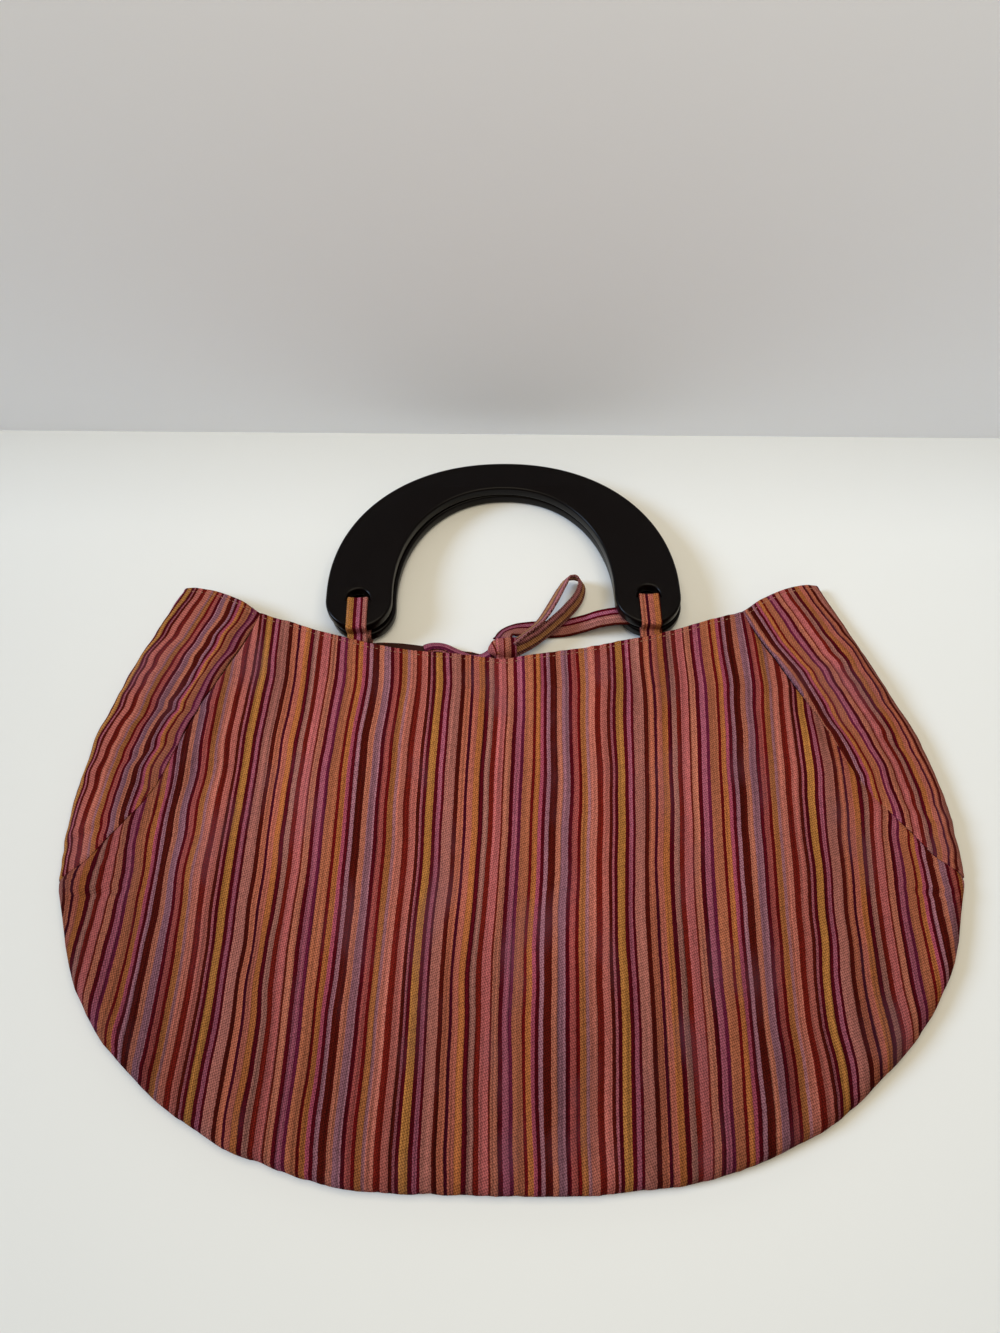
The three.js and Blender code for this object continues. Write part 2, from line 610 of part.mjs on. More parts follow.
// Turns a mesh made in the plan of the handle to where the handle lies: pitched down to its crown and
// swung about the left foot.
function layHandle(mesh, lift, pitch, shift) {
  const geometry = mesh.geometry;
  geometry.translate(FOOT_X, -FOOT_BOTTOM_Y, 0);
  geometry.rotateX(pitch);
  geometry.rotateZ(HANDLE_TURN);
  mesh.position.set(shift - FOOT_X, FOOT_BOTTOM_Y, lift);
  return mesh;
}

// Cloth loop: out of the hem, under the foot, up through the slot, over the foot and back into the hem.
function handleLoop(hand, lift, pitch, shift, hem) {
  const turnAt = new THREE.Vector3(shift - FOOT_X, FOOT_BOTTOM_Y, lift);
  const lay = (y, height) => new THREE.Vector3(hand * SLOT_OUT + FOOT_X, y - FOOT_BOTTOM_Y, height)
    .applyAxisAngle(new THREE.Vector3(1, 0, 0), pitch)
    .applyAxisAngle(new THREE.Vector3(0, 0, 1), HANDLE_TURN)
    .add(turnAt);
  const off = LOOP_CLEARANCE + RIBBON_THICKNESS / 2;
  const overFace = HANDLE_THICKNESS + off;
  const footEnd = FOOT_BOTTOM_Y - off;
  const slotWall = SLOT_FLOOR_Y + off;
  const slotPoint = lay(FOOT_BOTTOM_Y, 0);
  const hemAt = hemY(slotPoint.x - leanX(FOOT_BOTTOM_Y), hem.back);
  const tuckY = hemAt - TAIL_TUCK;
  const tuck = (y, height) => new THREE.Vector3(slotPoint.x, y, height);
  const under = lay(FOOT_BOTTOM_Y + 3, -off);
  const centres = [
    tuck(tuckY, hem.lowTail),
    tuck(mix(tuckY, under.y, 0.5), hem.lowTail),
    under,
    lay(SLOT_FLOOR_Y - 3, -off),
    lay(SLOT_FLOOR_Y + off * CORNER_STAND_OFF, -off * CORNER_STAND_OFF),
    lay(slotWall, HANDLE_EDGE),
    lay(slotWall, HANDLE_THICKNESS - HANDLE_EDGE),
    lay(SLOT_FLOOR_Y + off * CORNER_STAND_OFF, HANDLE_THICKNESS + off * CORNER_STAND_OFF),
    lay(SLOT_FLOOR_Y - 3, overFace),
    lay(FOOT_BOTTOM_Y + 3, overFace),
    lay(FOOT_BOTTOM_Y - off * CORNER_STAND_OFF, HANDLE_THICKNESS + off * CORNER_STAND_OFF),
    lay(footEnd, HANDLE_THICKNESS - 1.6),
    lay(footEnd, 0).setZ(hem.highTail + 1.2),
    tuck(hemAt + 0.2, hem.highTail),
    tuck(tuckY, hem.highTail),
  ];
  const hemSlope = (hemY(slotPoint.x + 1, hem.back) - hemY(slotPoint.x - 1, hem.back)) / 2;
  const skewed = new THREE.Vector3(1, hemSlope, 0).normalize();
  const turned = new THREE.Vector3(1, 0, 0).applyAxisAngle(new THREE.Vector3(0, 0, 1), HANDLE_TURN);
  const stations = centres.map((centre, row) => {
    const before = centres[Math.max(0, row - 1)];
    const after = centres[Math.min(centres.length - 1, row + 1)];
    const along = after.clone().sub(before).normalize();
    const tucked = row < 2 || row > centres.length - 3;
    const across = (tucked ? skewed : turned).clone();
    return { centre, across, face: new THREE.Vector3().crossVectors(across, along).normalize() };
  });
  return ribbonSolid(stations, RIBBON_WIDTH, RIBBON_THICKNESS);
}

const frontHemHeight = SEAM_HEIGHT + FULL_RISE * column(HEM_LINE, 'out', 'height', SLOT_OUT / CORNER_HALF_WIDTH);
const frontTail = frontHemHeight - CLOTH_WALL - TUCK_CLEARANCE - RIBBON_THICKNESS / 2;
const backTail = CLOTH_WALL + CLEARANCE + RIBBON_THICKNESS / 2;
const FRONT_HEM = { back: false, lowTail: frontTail - UNDER_STRAPS, highTail: frontTail };
const BACK_HEM = { back: true, lowTail: backTail, highTail: backTail + UNDER_STRAPS };

function knotSolid() {
  const knot = new THREE.SphereGeometry(1, 12, 8);
  knot.deleteAttribute('normal');
  knot.deleteAttribute('uv');
  knot.scale((KNOT.length * TIE_SIZE) / 2, (KNOT.width * TIE_SIZE) / 2, (KNOT.height * TIE_SIZE) / 2);
  knot.rotateZ(THREE.MathUtils.degToRad(KNOT.turn));
  knot.translate(KNOT.x * TIE_SIZE, HEM_DIP_Y + KNOT.beyond * TIE_SIZE, KNOT.lift * TIE_SIZE);
  const joined = mergeVertices(knot, 1e-4);
  joined.computeVertexNormals();
  return joined;
}

const CLOTH = { color: 0x9b5a4a, roughness: 0.92, metalness: 0 };
const SIDE_CLOTH = { color: 0x8d5142, roughness: 0.92, metalness: 0 };
const LINING = { color: 0x2a120c, roughness: 0.95, metalness: 0 };
const WOOD = { color: 0x16110f, roughness: 0.35, metalness: 0 };
const RIBBON = { color: 0x9a5552, roughness: 0.9, metalness: 0 };

const group = new THREE.Group();
const add = (name, geometry, finish) => {
  const mesh = new THREE.Mesh(geometry, new THREE.MeshStandardMaterial(finish));
  mesh.name = name;
  group.add(mesh);
  return mesh;
};

add('front_panel', mainPanel(1, FRONT_ROWS), CLOTH);
add('back_panel', mainPanel(-1, BACK_ROWS), CLOTH);
add('side_panel_left', sidePanel(-1), SIDE_CLOTH);
add('side_panel_right', sidePanel(1), SIDE_CLOTH);
add('lining_front', liningHalf(1), LINING);
add('lining_back', liningHalf(-1), LINING);
layHandle(add('handle_front', handlePlate(), WOOD), FRONT_FOOT_LIFT, FRONT_PITCH, 0);
layHandle(add('handle_back', handlePlate(), WOOD), BACK_FOOT_LIFT, BACK_PITCH, BACK_HANDLE_SHIFT);
for (const [label, hand] of [['left', -1], ['right', 1]]) {
  add(`handle_loop_front_${label}`, handleLoop(hand, FRONT_FOOT_LIFT, FRONT_PITCH, 0, FRONT_HEM), RIBBON);
  add(
    `handle_loop_back_${label}`,
    handleLoop(hand, BACK_FOOT_LIFT, BACK_PITCH, BACK_HANDLE_SHIFT, BACK_HEM),
    RIBBON,
  );
}
add('tie_knot', knotSolid(), RIBBON);
add('tie_tab', tieRibbon(TIE_TAB, 10, SEAM_HEIGHT + HEM_LINE[0].height * FULL_RISE - CLOTH_WALL), RIBBON);
add('tie_back_tab', tieRibbon(TIE_BACK_TAB, 10, CLOTH_WALL), RIBBON);
add('tie_bow', tieRibbon(TIE_BOW, 40), RIBBON);
add('tie_long_tail', tieRibbon(TIE_LONG_TAIL, 26), RIBBON);
add('tie_short_tail', tieRibbon(TIE_SHORT_TAIL, 14), RIBBON);

export default group;
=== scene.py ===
"""Look of a striped cotton handbag with two flat wooden handles, lying on its back panel."""

import logging
import math
from dataclasses import dataclass
from enum import Enum
from typing import Callable

import bpy
import numpy as np
from mathutils import Matrix, Vector


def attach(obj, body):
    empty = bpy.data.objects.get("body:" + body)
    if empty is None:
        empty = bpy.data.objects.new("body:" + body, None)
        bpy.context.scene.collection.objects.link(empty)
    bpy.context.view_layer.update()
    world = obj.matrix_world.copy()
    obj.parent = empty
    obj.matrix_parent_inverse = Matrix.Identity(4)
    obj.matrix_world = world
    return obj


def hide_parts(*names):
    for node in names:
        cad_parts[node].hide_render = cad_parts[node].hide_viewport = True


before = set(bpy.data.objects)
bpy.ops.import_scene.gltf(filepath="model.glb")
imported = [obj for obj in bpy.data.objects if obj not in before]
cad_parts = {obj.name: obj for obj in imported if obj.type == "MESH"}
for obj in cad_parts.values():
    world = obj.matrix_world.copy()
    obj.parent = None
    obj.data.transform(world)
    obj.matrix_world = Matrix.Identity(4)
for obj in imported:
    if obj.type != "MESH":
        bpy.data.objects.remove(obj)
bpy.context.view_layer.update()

logging.basicConfig(level=logging.INFO, format="%(message)s")
log = logging.getLogger("handbag")

# One millimetre in metres
MM = 0.001
ROOT = "root"
CLOTH_UV = "cloth"
WELD_DISTANCE = 0.00001

Array = np.ndarray
Socket = bpy.types.NodeSocket
Piece = bpy.types.Object
Material = bpy.types.Material
Tree = bpy.types.NodeTree
Pair = tuple[Array, Array]
Outline = list[tuple[float, float]]
Triple = tuple[float, float, float]
Creases = tuple[tuple[float, float, float, float, float, float], ...]
Profile = tuple[tuple[float, float], ...]
Field = Callable[[Array, Array], Array]
# Layers of soft random waves: height, size across, size along, number
Waves = tuple[tuple[float, float, float, int], ...]


class Placed(Enum):
    """Enum of places whose names are part of the names of pieces."""

    @property
    def label(self) -> str:
        """Word for it in the names of pieces."""
        return self.name.lower()


class Side(Placed):
    """Side of the bag that a piece is on."""

    FRONT = 1
    BACK = -1


class Hand(Placed):
    """Left or right, as the bag is seen from the front."""

    LEFT = -1
    RIGHT = 1


# Small mathematics

# Half the distance in mm that a slope is taken over
SLOPE_STEP = 0.5


def smooth(value: Array) -> Array:
    """Eases a share from 0 to 1.

    Args:
        value: shares, of any size.

    Returns:
        The eased shares, between 0 and 1.
    """
    held = np.clip(value, 0.0, 1.0)
    return held * held * (3.0 - 2.0 * held)


def mix(start, end, share):
    """Value between two others.

    Args:
        start: value at share 0.
        end: value at share 1.
        share: how far along.

    Returns:
        The value in between.
    """
    return start + (end - start) * share


def along_profile(profile: Profile, at: Array) -> Array:
    """Smooth value of a profile without overshoot between its rows.

    Args:
        profile: rows of place and value, places rising.
        at: places asked for.

    Returns:
        The values there.
    """
    places = np.array([row[0] for row in profile])
    values = np.array([row[1] for row in profile])
    widths = np.diff(places)
    slopes = np.diff(values) / widths
    before, after = slopes[:-1], slopes[1:]
    same_way = before * after > 0.0
    summed = np.where(same_way, before + after, 1.0)
    inner = np.where(same_way, 2.0 * before * after / summed, 0.0)
    tangents = np.concatenate([slopes[:1], inner, slopes[-1:]])
    held = np.clip(at, places[0], places[-1])
    row = np.clip(np.searchsorted(places, held) - 1, 0, len(widths) - 1)
    width = widths[row]
    s = (held - places[row]) / width
    s2, s3 = s * s, s * s * s
    return (
        (2.0 * s3 - 3.0 * s2 + 1.0) * values[row]
        + (s3 - 2.0 * s2 + s) * width * tangents[row]
        + (3.0 * s2 - 2.0 * s3) * values[row + 1]
        + (s3 - s2) * width * tangents[row + 1]
    )


def slope_of(field: Field, x: Array, y: Array) -> Pair:
    """Slope of a field of heights or distances.

    Args:
        field: the function of x and y.
        x: places across.
        y: places along.

    Returns:
        The slope along x and along y.
    """
    step = SLOPE_STEP
    along_x = (field(x + step, y) - field(x - step, y)) / (2.0 * step)
    along_y = (field(x, y + step) - field(x, y - step)) / (2.0 * step)
    return along_x, along_y


def value_noise(x: Array, y: Array, cell: tuple[float, float], seed: int) -> Array:
    """Soft random field, the same at every run.

    Args:
        x: places across.
        y: places along.
        cell: size of one bump across and along.
        seed: number of the field.

    Returns:
        Values between -1 and 1.
    """
    grid_x, grid_y = np.asarray(x) / cell[0], np.asarray(y) / cell[1]
    floor_x, floor_y = np.floor(grid_x), np.floor(grid_y)
    share_x, share_y = smooth(grid_x - floor_x), smooth(grid_y - floor_y)

    def corner(step_x: int, step_y: int) -> Array:
        turn = (floor_x + step_x) * 127.1 + (floor_y + step_y) * 311.7 + seed * 74.7
        wave = np.sin(turn) * 43758.5453
        return 2.0 * (wave - np.floor(wave)) - 1.0

    low = mix(corner(0, 0), corner(1, 0), share_x)
    high = mix(corner(0, 1), corner(1, 1), share_x)
    return mix(low, high, share_y)


def hill(distance: Array, width: float) -> Array:
    """Smooth hill, one high at its middle.

    Args:
        distance: distances from the middle.
        width: distance at which it has fallen to about a third.

    Returns:
        The heights.
    """
    return np.exp(-((distance / width) ** 2))


def waves(layers: Waves, x: Array, y: Array | None = None) -> Array:
    """Layers of soft random waves, added up.

    Args:
        layers: the layers.
        x: places across, or along a line.
        y: places along; none for waves that change along one line only.

    Returns:
        The heights.
    """
    rows = np.zeros_like(x) if y is None else y
    return sum(layer[0] * value_noise(x, rows, layer[1:3], layer[3]) for layer in layers)


def crease_frame(x: Array, y: Array, heading: float, along: float, across: float) -> tuple:
    """Places in the frame of a crease that runs at an angle.

    Args:
        x: places across, from the crease's middle.
        y: places along, from its middle.
        heading: its direction in degrees.
        along: its length.
        across: its width.

    Returns:
        Shares of its length and of its width.
    """
    turned = math.radians(heading)
    lengthwise = (x * math.cos(turned) + y * math.sin(turned)) / along
    crosswise = (y * math.cos(turned) - x * math.sin(turned)) / across
    return lengthwise, crosswise


def arc_length(path: Array) -> Array:
    """Distance along a line at each of its points.

    Args:
        path: points of the line.

    Returns:
        Distances from its first point.
    """
    return np.concatenate([[0.0], np.cumsum(np.linalg.norm(np.diff(path, axis=0), axis=1))])


def read_along(at: float, distance: Array, values: Array) -> Array:
    """Vector at a place between the rows of a table.

    Args:
        at: the place.
        distance: place of each row, rising.
        values: a vector in each row.

    Returns:
        The vector there.
    """
    return np.array([np.interp(at, distance, values[:, axis]) for axis in range(3)])


def unit(vectors: Array) -> Array:
    """Vectors made one long.

    Args:
        vectors: any array whose last axis is a vector.

    Returns:
        The same directions with length 1.
    """
    size = np.linalg.norm(vectors, axis=-1, keepdims=True)
    return vectors / np.maximum(size, 1e-9)


# Shape of the cloth body, in mm


@dataclass(frozen=True)
class BagShape:
    """Driving sizes of the cloth body and the surfaces that follow from them, in mm."""

    half_width: float = 219.5
    side_point_y: float = -1.5
    bottom_drop: float = 135.2
    corner_y: float = 163.5
    corner_half_width: float = 177.0
    hem_dip_y: float = 115.8
    apex_half_width: float = 131.0
    lean: float = 3.2
    wall: float = 1.4
    seam_height: float = 4.0
    roll_rise: float = 7.0
    roll_width: float = 10.0
    swell_rise: float = 10.0
    swell_width: float = 95.0
    back_roll_width: float = 6.0
    hem_blend: float = 70.0
    back_hem_rise: float = 3.0
    mouth_gape: float = 5.5
    gape_x: float = -35.0
    gape_width: float = 38.0
    sag_gape: float = 3.4
    sag_x: float = -62.0
    sag_width: float = 21.0

    fullness: Profile = (
        (0, 0.997), (9, 0.982), (20, 0.987), (30, 0.995), (40, 1.003),
        (50, 1.019), (60, 1.031), (70, 1.03), (80, 1.008), (90, 1),
    )
    fold_line: Profile = (
        (0, 0.997), (0.07, 1), (0.18, 0.998), (0.31, 0.986), (0.44, 0.967),
        (0.58, 0.93), (0.72, 0.894), (0.84, 0.857), (1, 0.8064),
    )
    hem_rise: Profile = (
        (0, 0), (0.22, 0.1), (0.38, 0.195), (0.44, 0.233), (0.53, 0.322),
        (0.64, 0.472), (0.74, 0.594), (0.81, 0.778), (0.905, 0.93), (1, 1),
    )
    hem_height: Profile = (
        (0, 9), (0.22, 9.6), (0.38, 11.6), (0.44, 12.6), (0.53, 11.9),
        (0.64, 9.4), (0.74, 8), (0.81, 6.8), (0.905, 5.6), (1, 4.6),
    )
    seam_line: Profile = (
        (0, 0), (0.1, 0.06), (0.21, 0.145), (0.3, 0.215), (0.38, 0.29), (0.46, 0.35), (0.56, 0.42),
        (0.66, 0.485), (0.73, 0.555), (0.8, 0.655), (0.86, 0.745), (0.93, 0.84), (1, 1),
    )
    # Soft folds: out, up, heading in degrees, along, across, depth
    folds: Creases = (
        (-0.75, 0.68, 55, 26, 7, 1.5),
        (-0.86, 0.42, 62, 30, 8, 1.2),
        (-0.9, -0.06, 40, 22, 7, 1.4),
        (-0.7, 0.28, 30, 24, 8, 1.1),
        (0.84, 0.72, -58, 22, 7, -1.2),
        (0.76, 0.5, -50, 30, 8, 1.3),
        (0.91, 0.06, -35, 22, 7, 1.4),
        (-0.3, -0.2, 86, 80, 22, 1.3),
        (0.33, 0.1, 93, 85, 24, 1.2),
        (0.05, -0.45, 8, 95, 18, 1.0),
    )

    def fold_x(self, y: Array) -> Array:
        """Half width at the side fold.

        Args:
            y: places along the bag.

        Returns:
            Distances out from the middle.
        """
        up = (y - self.side_point_y) / (self.corner_y - self.side_point_y)
        return self.half_width * along_profile(self.fold_line, up)

    def bottom_point(self, turn: Array, inset: float = 0.0) -> Pair:
        """Point of the rounded bottom outline.

        Args:
            turn: degrees from the side point downwards.
            inset: distance inside the outline.

        Returns:
            x and y of the points.
        """
        angle = np.radians(turn)
        reach = along_profile(self.fullness, turn)
        x = self.half_width * np.cos(angle) * reach
        y = self.bottom_drop * np.sin(angle) * reach
        keep = 1.0 - inset / np.hypot(x, y)
        return x * keep, self.side_point_y - y * keep

    def bottom_y(self, x: Array) -> Array:
        """Height on the page of the bottom outline.

        Args:
            x: places across.

        Returns:
            y of the outline there.
        """
        turns = np.linspace(90.0, 0.0, 1801)
        edge_x, edge_y = self.bottom_point(turns)
        return np.interp(np.abs(x), edge_x, edge_y)

    def hem_y(self, x: Array, side: Side = Side.FRONT) -> Array:
        """Height on the page of the hem.

        Args:
            x: places across.
            side: front or back hem.

        Returns:
            y of the hem.
        """
        x = np.asarray(x, dtype=float)
        rise = along_profile(self.hem_rise, np.abs(x) / self.corner_half_width)
        front = mix(self.hem_dip_y, self.corner_y, rise)
        if side is Side.FRONT:
            return front
        gape = self.mouth_gape * hill(x - self.gape_x, self.gape_width)
        sag = self.sag_gape * hill(x - self.sag_x, self.sag_width)
        open_share = 1.0 - smooth(np.abs(x) / self.apex_half_width)
        return front + (self.back_hem_rise + gape) * open_share + sag

    @property
    def side_point_x(self) -> float:
        """Half width at the side points."""
        return float(self.bottom_point(np.array(0.0))[0])

    def seam_point(self, down: Array) -> Pair:
        """Point on the seam between a main panel and a side panel.

        Args:
            down: share of the way from the hem to the side point.

        Returns:
            Distance out and y.
        """
        apex_y = self.hem_y(np.array(self.apex_half_width))
        out = mix(self.apex_half_width, self.side_point_x, along_profile(self.seam_line, down))
        return out, mix(apex_y, self.side_point_y, down)

    def seam_down(self, x: Array) -> Array:
        """Share of the way down the seam at a distance out.

        Args:
            x: places across.

        Returns:
            The shares, 0 above the seam.
        """
        swapped = tuple((out, down) for down, out in self.seam_line)
        out = (np.abs(x) - self.apex_half_width) / (self.side_point_x - self.apex_half_width)
        return along_profile(swapped, out)

    def panel_top(self, x: Array, side: Side) -> Array:
        """Upper edge of a main panel: hem in the middle, seam outside.

        Args:
            x: places across.
            side: front or back panel.

        Returns:
            y of the edge.
        """
        apex_y = self.hem_y(np.array(self.apex_half_width))
        seam = mix(apex_y, self.side_point_y, self.seam_down(x))
        return np.where(np.abs(x) < self.apex_half_width, self.hem_y(x, side), seam)

    def in_from_edge(self, x: Array, y: Array) -> Array:
        """Distance in from the outline.

        Args:
            x: places across.
            y: places along.

        Returns:
            Distances, zero on the outline.
        """
        upper = self.fold_x(y) - np.abs(x)
        below = np.maximum(0.0, self.side_point_y - y)
        turn = np.degrees(np.arctan2(below / self.bottom_drop, np.abs(x) / self.half_width))
        edge_x, edge_y = self.bottom_point(turn)
        lower = np.hypot(edge_x, edge_y - self.side_point_y) - np.hypot(x, y - self.side_point_y)
        return np.where(y >= self.side_point_y, upper, lower)

    def front_rise(self, x: Array, y: Array) -> Array:
        """Rise of the front over the side fold, before its edge rolls under.

        Args:
            x: places across.
            y: places along.

        Returns:
            Heights.
        """
        swell = self.roll_rise + self.swell_rise * smooth(self.in_from_edge(x, y) / self.swell_width)
        hem = along_profile(self.hem_height, np.abs(x) / self.corner_half_width)
        rise = mix(hem, swell, smooth((self.hem_y(x) - y) / self.hem_blend))
        for out, up, heading, along, across, depth in self.folds:
            lengthwise, crosswise = crease_frame(
                x - out * self.half_width, y - up * self.corner_y, heading, along, across
            )
            rise = rise - depth * np.exp(-(lengthwise**2) - crosswise**2)
        return rise

    def lean_x(self, y: Array) -> Array:
        """Sideways lean of the lower bag.

        Args:
            y: places along.

        Returns:
            Shift along x.
        """
        return self.lean * smooth((self.corner_y - y) / (self.corner_y - self.side_point_y))

    def skin(
        self, x: Array, y: Array, side: Side, inset: float = 0.0, sink: float = 0.0
    ) -> Pair:
        """Outside of the cloth and its outward direction.

        Args:
            x: places across, without the lean.
            y: places along.
            side: front or back.
            inset: distance of the piece inside the outline.
            sink: how far the piece lies under the outer cloth.

        Returns:
            Points and directions.
        """
        sign = side.value
        width = self.roll_width if side is Side.FRONT else self.back_roll_width
        if inset > 0.0 and side is Side.BACK:
            width = width / 2.0
        rise = self.front_rise(x, y) if side is Side.FRONT else np.full_like(x, self.seam_height)
        rise = rise - sink
        share = np.clip((self.in_from_edge(x, y) - inset) / width, 0.0, 1.0)
        lift = np.sqrt(1.0 - (1.0 - share) ** 2)
        inward_x, inward_y = slope_of(self.in_from_edge, x, np.minimum(y, self.corner_y - 1.0))
        size = np.maximum(np.hypot(inward_x, inward_y), 1e-6)
        lean_x, lean_y = slope_of(self.front_rise, x, y) if side is Side.FRONT else (0.0 * x, 0.0 * y)
        steep = rise * (1.0 - share) / width
        normals = np.stack(
            [
                -inward_x / size * steep - sign * lift * lift * lean_x,
                -inward_y / size * steep - sign * lift * lift * lean_y,
                sign * lift,
            ],
            axis=-1,
        )
        points = np.stack([x + self.lean_x(y), y, self.seam_height + sign * lift * rise], axis=-1)
        return points, unit(normals)


BAG = BagShape()


# Stripe repeat of the cloth, charted


class Yarn(Enum):
    """Colours of the stripes, as they look in daylight."""

    DARK_BROWN = "#4e160e"
    TAN = "#a66c56"
    VIOLET = "#856068"
    PALE_LILAC = "#946c74"
    MAROON = "#520d18"
    ROSE_RED = "#94504a"
    DARK_RED = "#641414"
    GOLD = "#98643c"
    GREY_LILAC = "#94686a"
    TAN_PINK = "#aa6c5c"
    RED_BROWN = "#6a1f16"
    ROSE = "#a6655a"
    PINK_LILAC = "#985c62"
    MUSTARD = "#a2743e"
    MAUVE = "#955866"
    DUSTY_ROSE = "#9e6a5e"
    ORANGE_TAN = "#a2644c"
    PURPLE_MAROON = "#480e20"
    ROSE_TAN = "#a86654"
    ORANGE_GOLD = "#a2683c"
    GREY_TAUPE = "#956a5e"
    ROSE_PINK = "#aa6460"
    THIN_BROWN = "#66241a"
    TAN_GOLD = "#a0664a"
    PURPLE = "#62213a"
    PINK_PURPLE = "#9c5060"


STRIPE_CHART: tuple[tuple[Yarn, float], ...] = (
    (Yarn.DARK_BROWN, 44), (Yarn.TAN, 34), (Yarn.VIOLET, 37), (Yarn.PALE_LILAC, 10), (Yarn.MAROON, 24),
    (Yarn.ROSE_RED, 34), (Yarn.DARK_RED, 20), (Yarn.GOLD, 36), (Yarn.GREY_LILAC, 20), (Yarn.TAN_PINK, 46),
    (Yarn.RED_BROWN, 37), (Yarn.ROSE, 45), (Yarn.DARK_BROWN, 20), (Yarn.PINK_LILAC, 16), (Yarn.MAROON, 22),
    (Yarn.MUSTARD, 44), (Yarn.MAROON, 24), (Yarn.MAUVE, 26), (Yarn.MAROON, 17), (Yarn.DUSTY_ROSE, 62),
    (Yarn.DARK_BROWN, 28), (Yarn.ORANGE_TAN, 40), (Yarn.PURPLE_MAROON, 19), (Yarn.ROSE_TAN, 35),
    (Yarn.ORANGE_GOLD, 38), (Yarn.MAROON, 29), (Yarn.GREY_TAUPE, 34), (Yarn.RED_BROWN, 31),
    (Yarn.ROSE_PINK, 51), (Yarn.THIN_BROWN, 13), (Yarn.TAN, 37), (Yarn.MAROON, 27), (Yarn.MAUVE, 35),
    (Yarn.PURPLE, 22), (Yarn.TAN_GOLD, 57), (Yarn.DARK_RED, 20), (Yarn.ORANGE_GOLD, 31),
    (Yarn.PINK_PURPLE, 22), (Yarn.MAROON, 20), (Yarn.PALE_LILAC, 26),
)
# Width of one repeat on the flat cloth, in mm
STRIPE_PITCH = 95.5

# x of one dark brown stripe, and the distance to the same stripe of the next repeat, by y
STRIPE_START: Profile = ((-119, -79.4), (-10, -73.6), (98, -69.8))
STRIPE_SPACING: Profile = ((-119, 96.7), (-10, 93.2), (98, 94.3))


STRIPE_WAVER: Waves = ((0.8, 46, 44, 3), (0.3, 15, 22, 4))
OUTER_STRIPE_WAVER: Waves = ((0.8, 30, 17, 5),)
STRIPE_SLACK: Waves = ((0.6, 26, 38, 61), (0.3, 10, 17, 62))


def panel_stripes(points: Array) -> Array:
    """Place across the stripe repeat on a main panel.

    Args:
        points: points of the panel, in mm, columns along the second axis.

    Returns:
        Place in mm across the flat cloth.
    """
    x, y = points[..., 0], points[..., 1]
    even = (x - along_profile(STRIPE_START, y)) / along_profile(STRIPE_SPACING, y) * STRIPE_PITCH
    run, climb = np.diff(x, axis=1), np.diff(points[..., 2], axis=1)
    extra = np.hypot(run, climb) - np.abs(run)
    total = np.concatenate([np.zeros((len(points), 1)), np.cumsum(extra, axis=1)], axis=1)
    middle = total[:, total.shape[1] // 2][:, None]
    outer = smooth((np.abs(x) - 90.0) / 60.0)
    return even + (total - middle) + waves(STRIPE_WAVER, x, y) + outer * waves(OUTER_STRIPE_WAVER, x, y)


def stripe_slack(x: Array, y: Array) -> Array:
    """How far loose stripes are pushed aside, most of all on the left.

    Args:
        x: places across, before the cloth settles.
        y: places along.

    Returns:
        Distances in mm.
    """
    looser, pulled = smooth(-(x + 60.0) / 70.0), smooth(-(x + 90.0) / 50.0)
    return waves(STRIPE_SLACK, x, y) * (1.0 + 0.9 * looser) - 1.2 * pulled


# Meshes


@dataclass
class MeshParts:
    """Corners, faces and flat-cloth places of a mesh being built, in mm."""

    corners: Array
    faces: list[tuple[int, ...]]
    flat: Array

    def joined(self, other: "MeshParts") -> "MeshParts":
        """One mesh of both.

        Args:
            other: the mesh to add.

        Returns:
            The joined mesh.
        """
        base = len(self.corners)
        moved = [tuple(base + corner for corner in face) for face in other.faces]
        return MeshParts(
            np.concatenate([self.corners, other.corners]),
            self.faces + moved,
            np.concatenate([self.flat, other.flat]),
        )

    def volume(self) -> float:
        """Signed volume, to find out which way the faces look.

        Returns:
            Six times the volume, negative if the faces look in.
        """
        total = 0.0
        for face in self.faces:
            first = self.corners[face[0]]
            for second, third in zip(face[1:-1], face[2:]):
                total += float(np.dot(first, np.cross(self.corners[second], self.corners[third])))
        return total

    def to_object(self, name: str, sharp_angle: float = 50.0) -> Piece:
        """Makes the mesh object, with its faces looking out.

        Args:
            name: name of the piece.
            sharp_angle: edges sharper than this many degrees stay sharp.

        Returns:
            The object, linked to the scene.
        """
        faces = self.faces
        if self.volume() <= 0.0:
            faces = [tuple(reversed(face)) for face in faces]
        mesh = bpy.data.meshes.new(name)
        mesh.from_pydata((self.corners * MM).tolist(), [], faces)
        mesh.validate()
        layer = mesh.uv_layers.new(name=CLOTH_UV)
        indices = np.empty(len(mesh.loops), dtype=np.int32)
        mesh.loops.foreach_get("vertex_index", indices)
        layer.data.foreach_set("uv", (self.flat[indices] * MM).astype(np.float32).ravel())
        piece = bpy.data.objects.new(name, mesh)
        bpy.context.scene.collection.objects.link(piece)
        select_only(piece)
        bpy.ops.object.shade_smooth_by_angle(angle=math.radians(sharp_angle))
        return piece


def ring_faces(rings: int, around: int, base: int = 0) -> list[tuple[int, ...]]:
    """Faces between rings of corners that follow one another.

    Args:
        rings: number of rings.
        around: corners in each ring.
        base: number of the first corner.

    Returns:
        The faces.
    """
    faces = []
    for ring in range(rings - 1):
        low, high = base + ring * around, base + (ring + 1) * around
        for step in range(around):
            after = (step + 1) % around
            faces.append((low + step, low + after, high + after, high + step))
    return faces


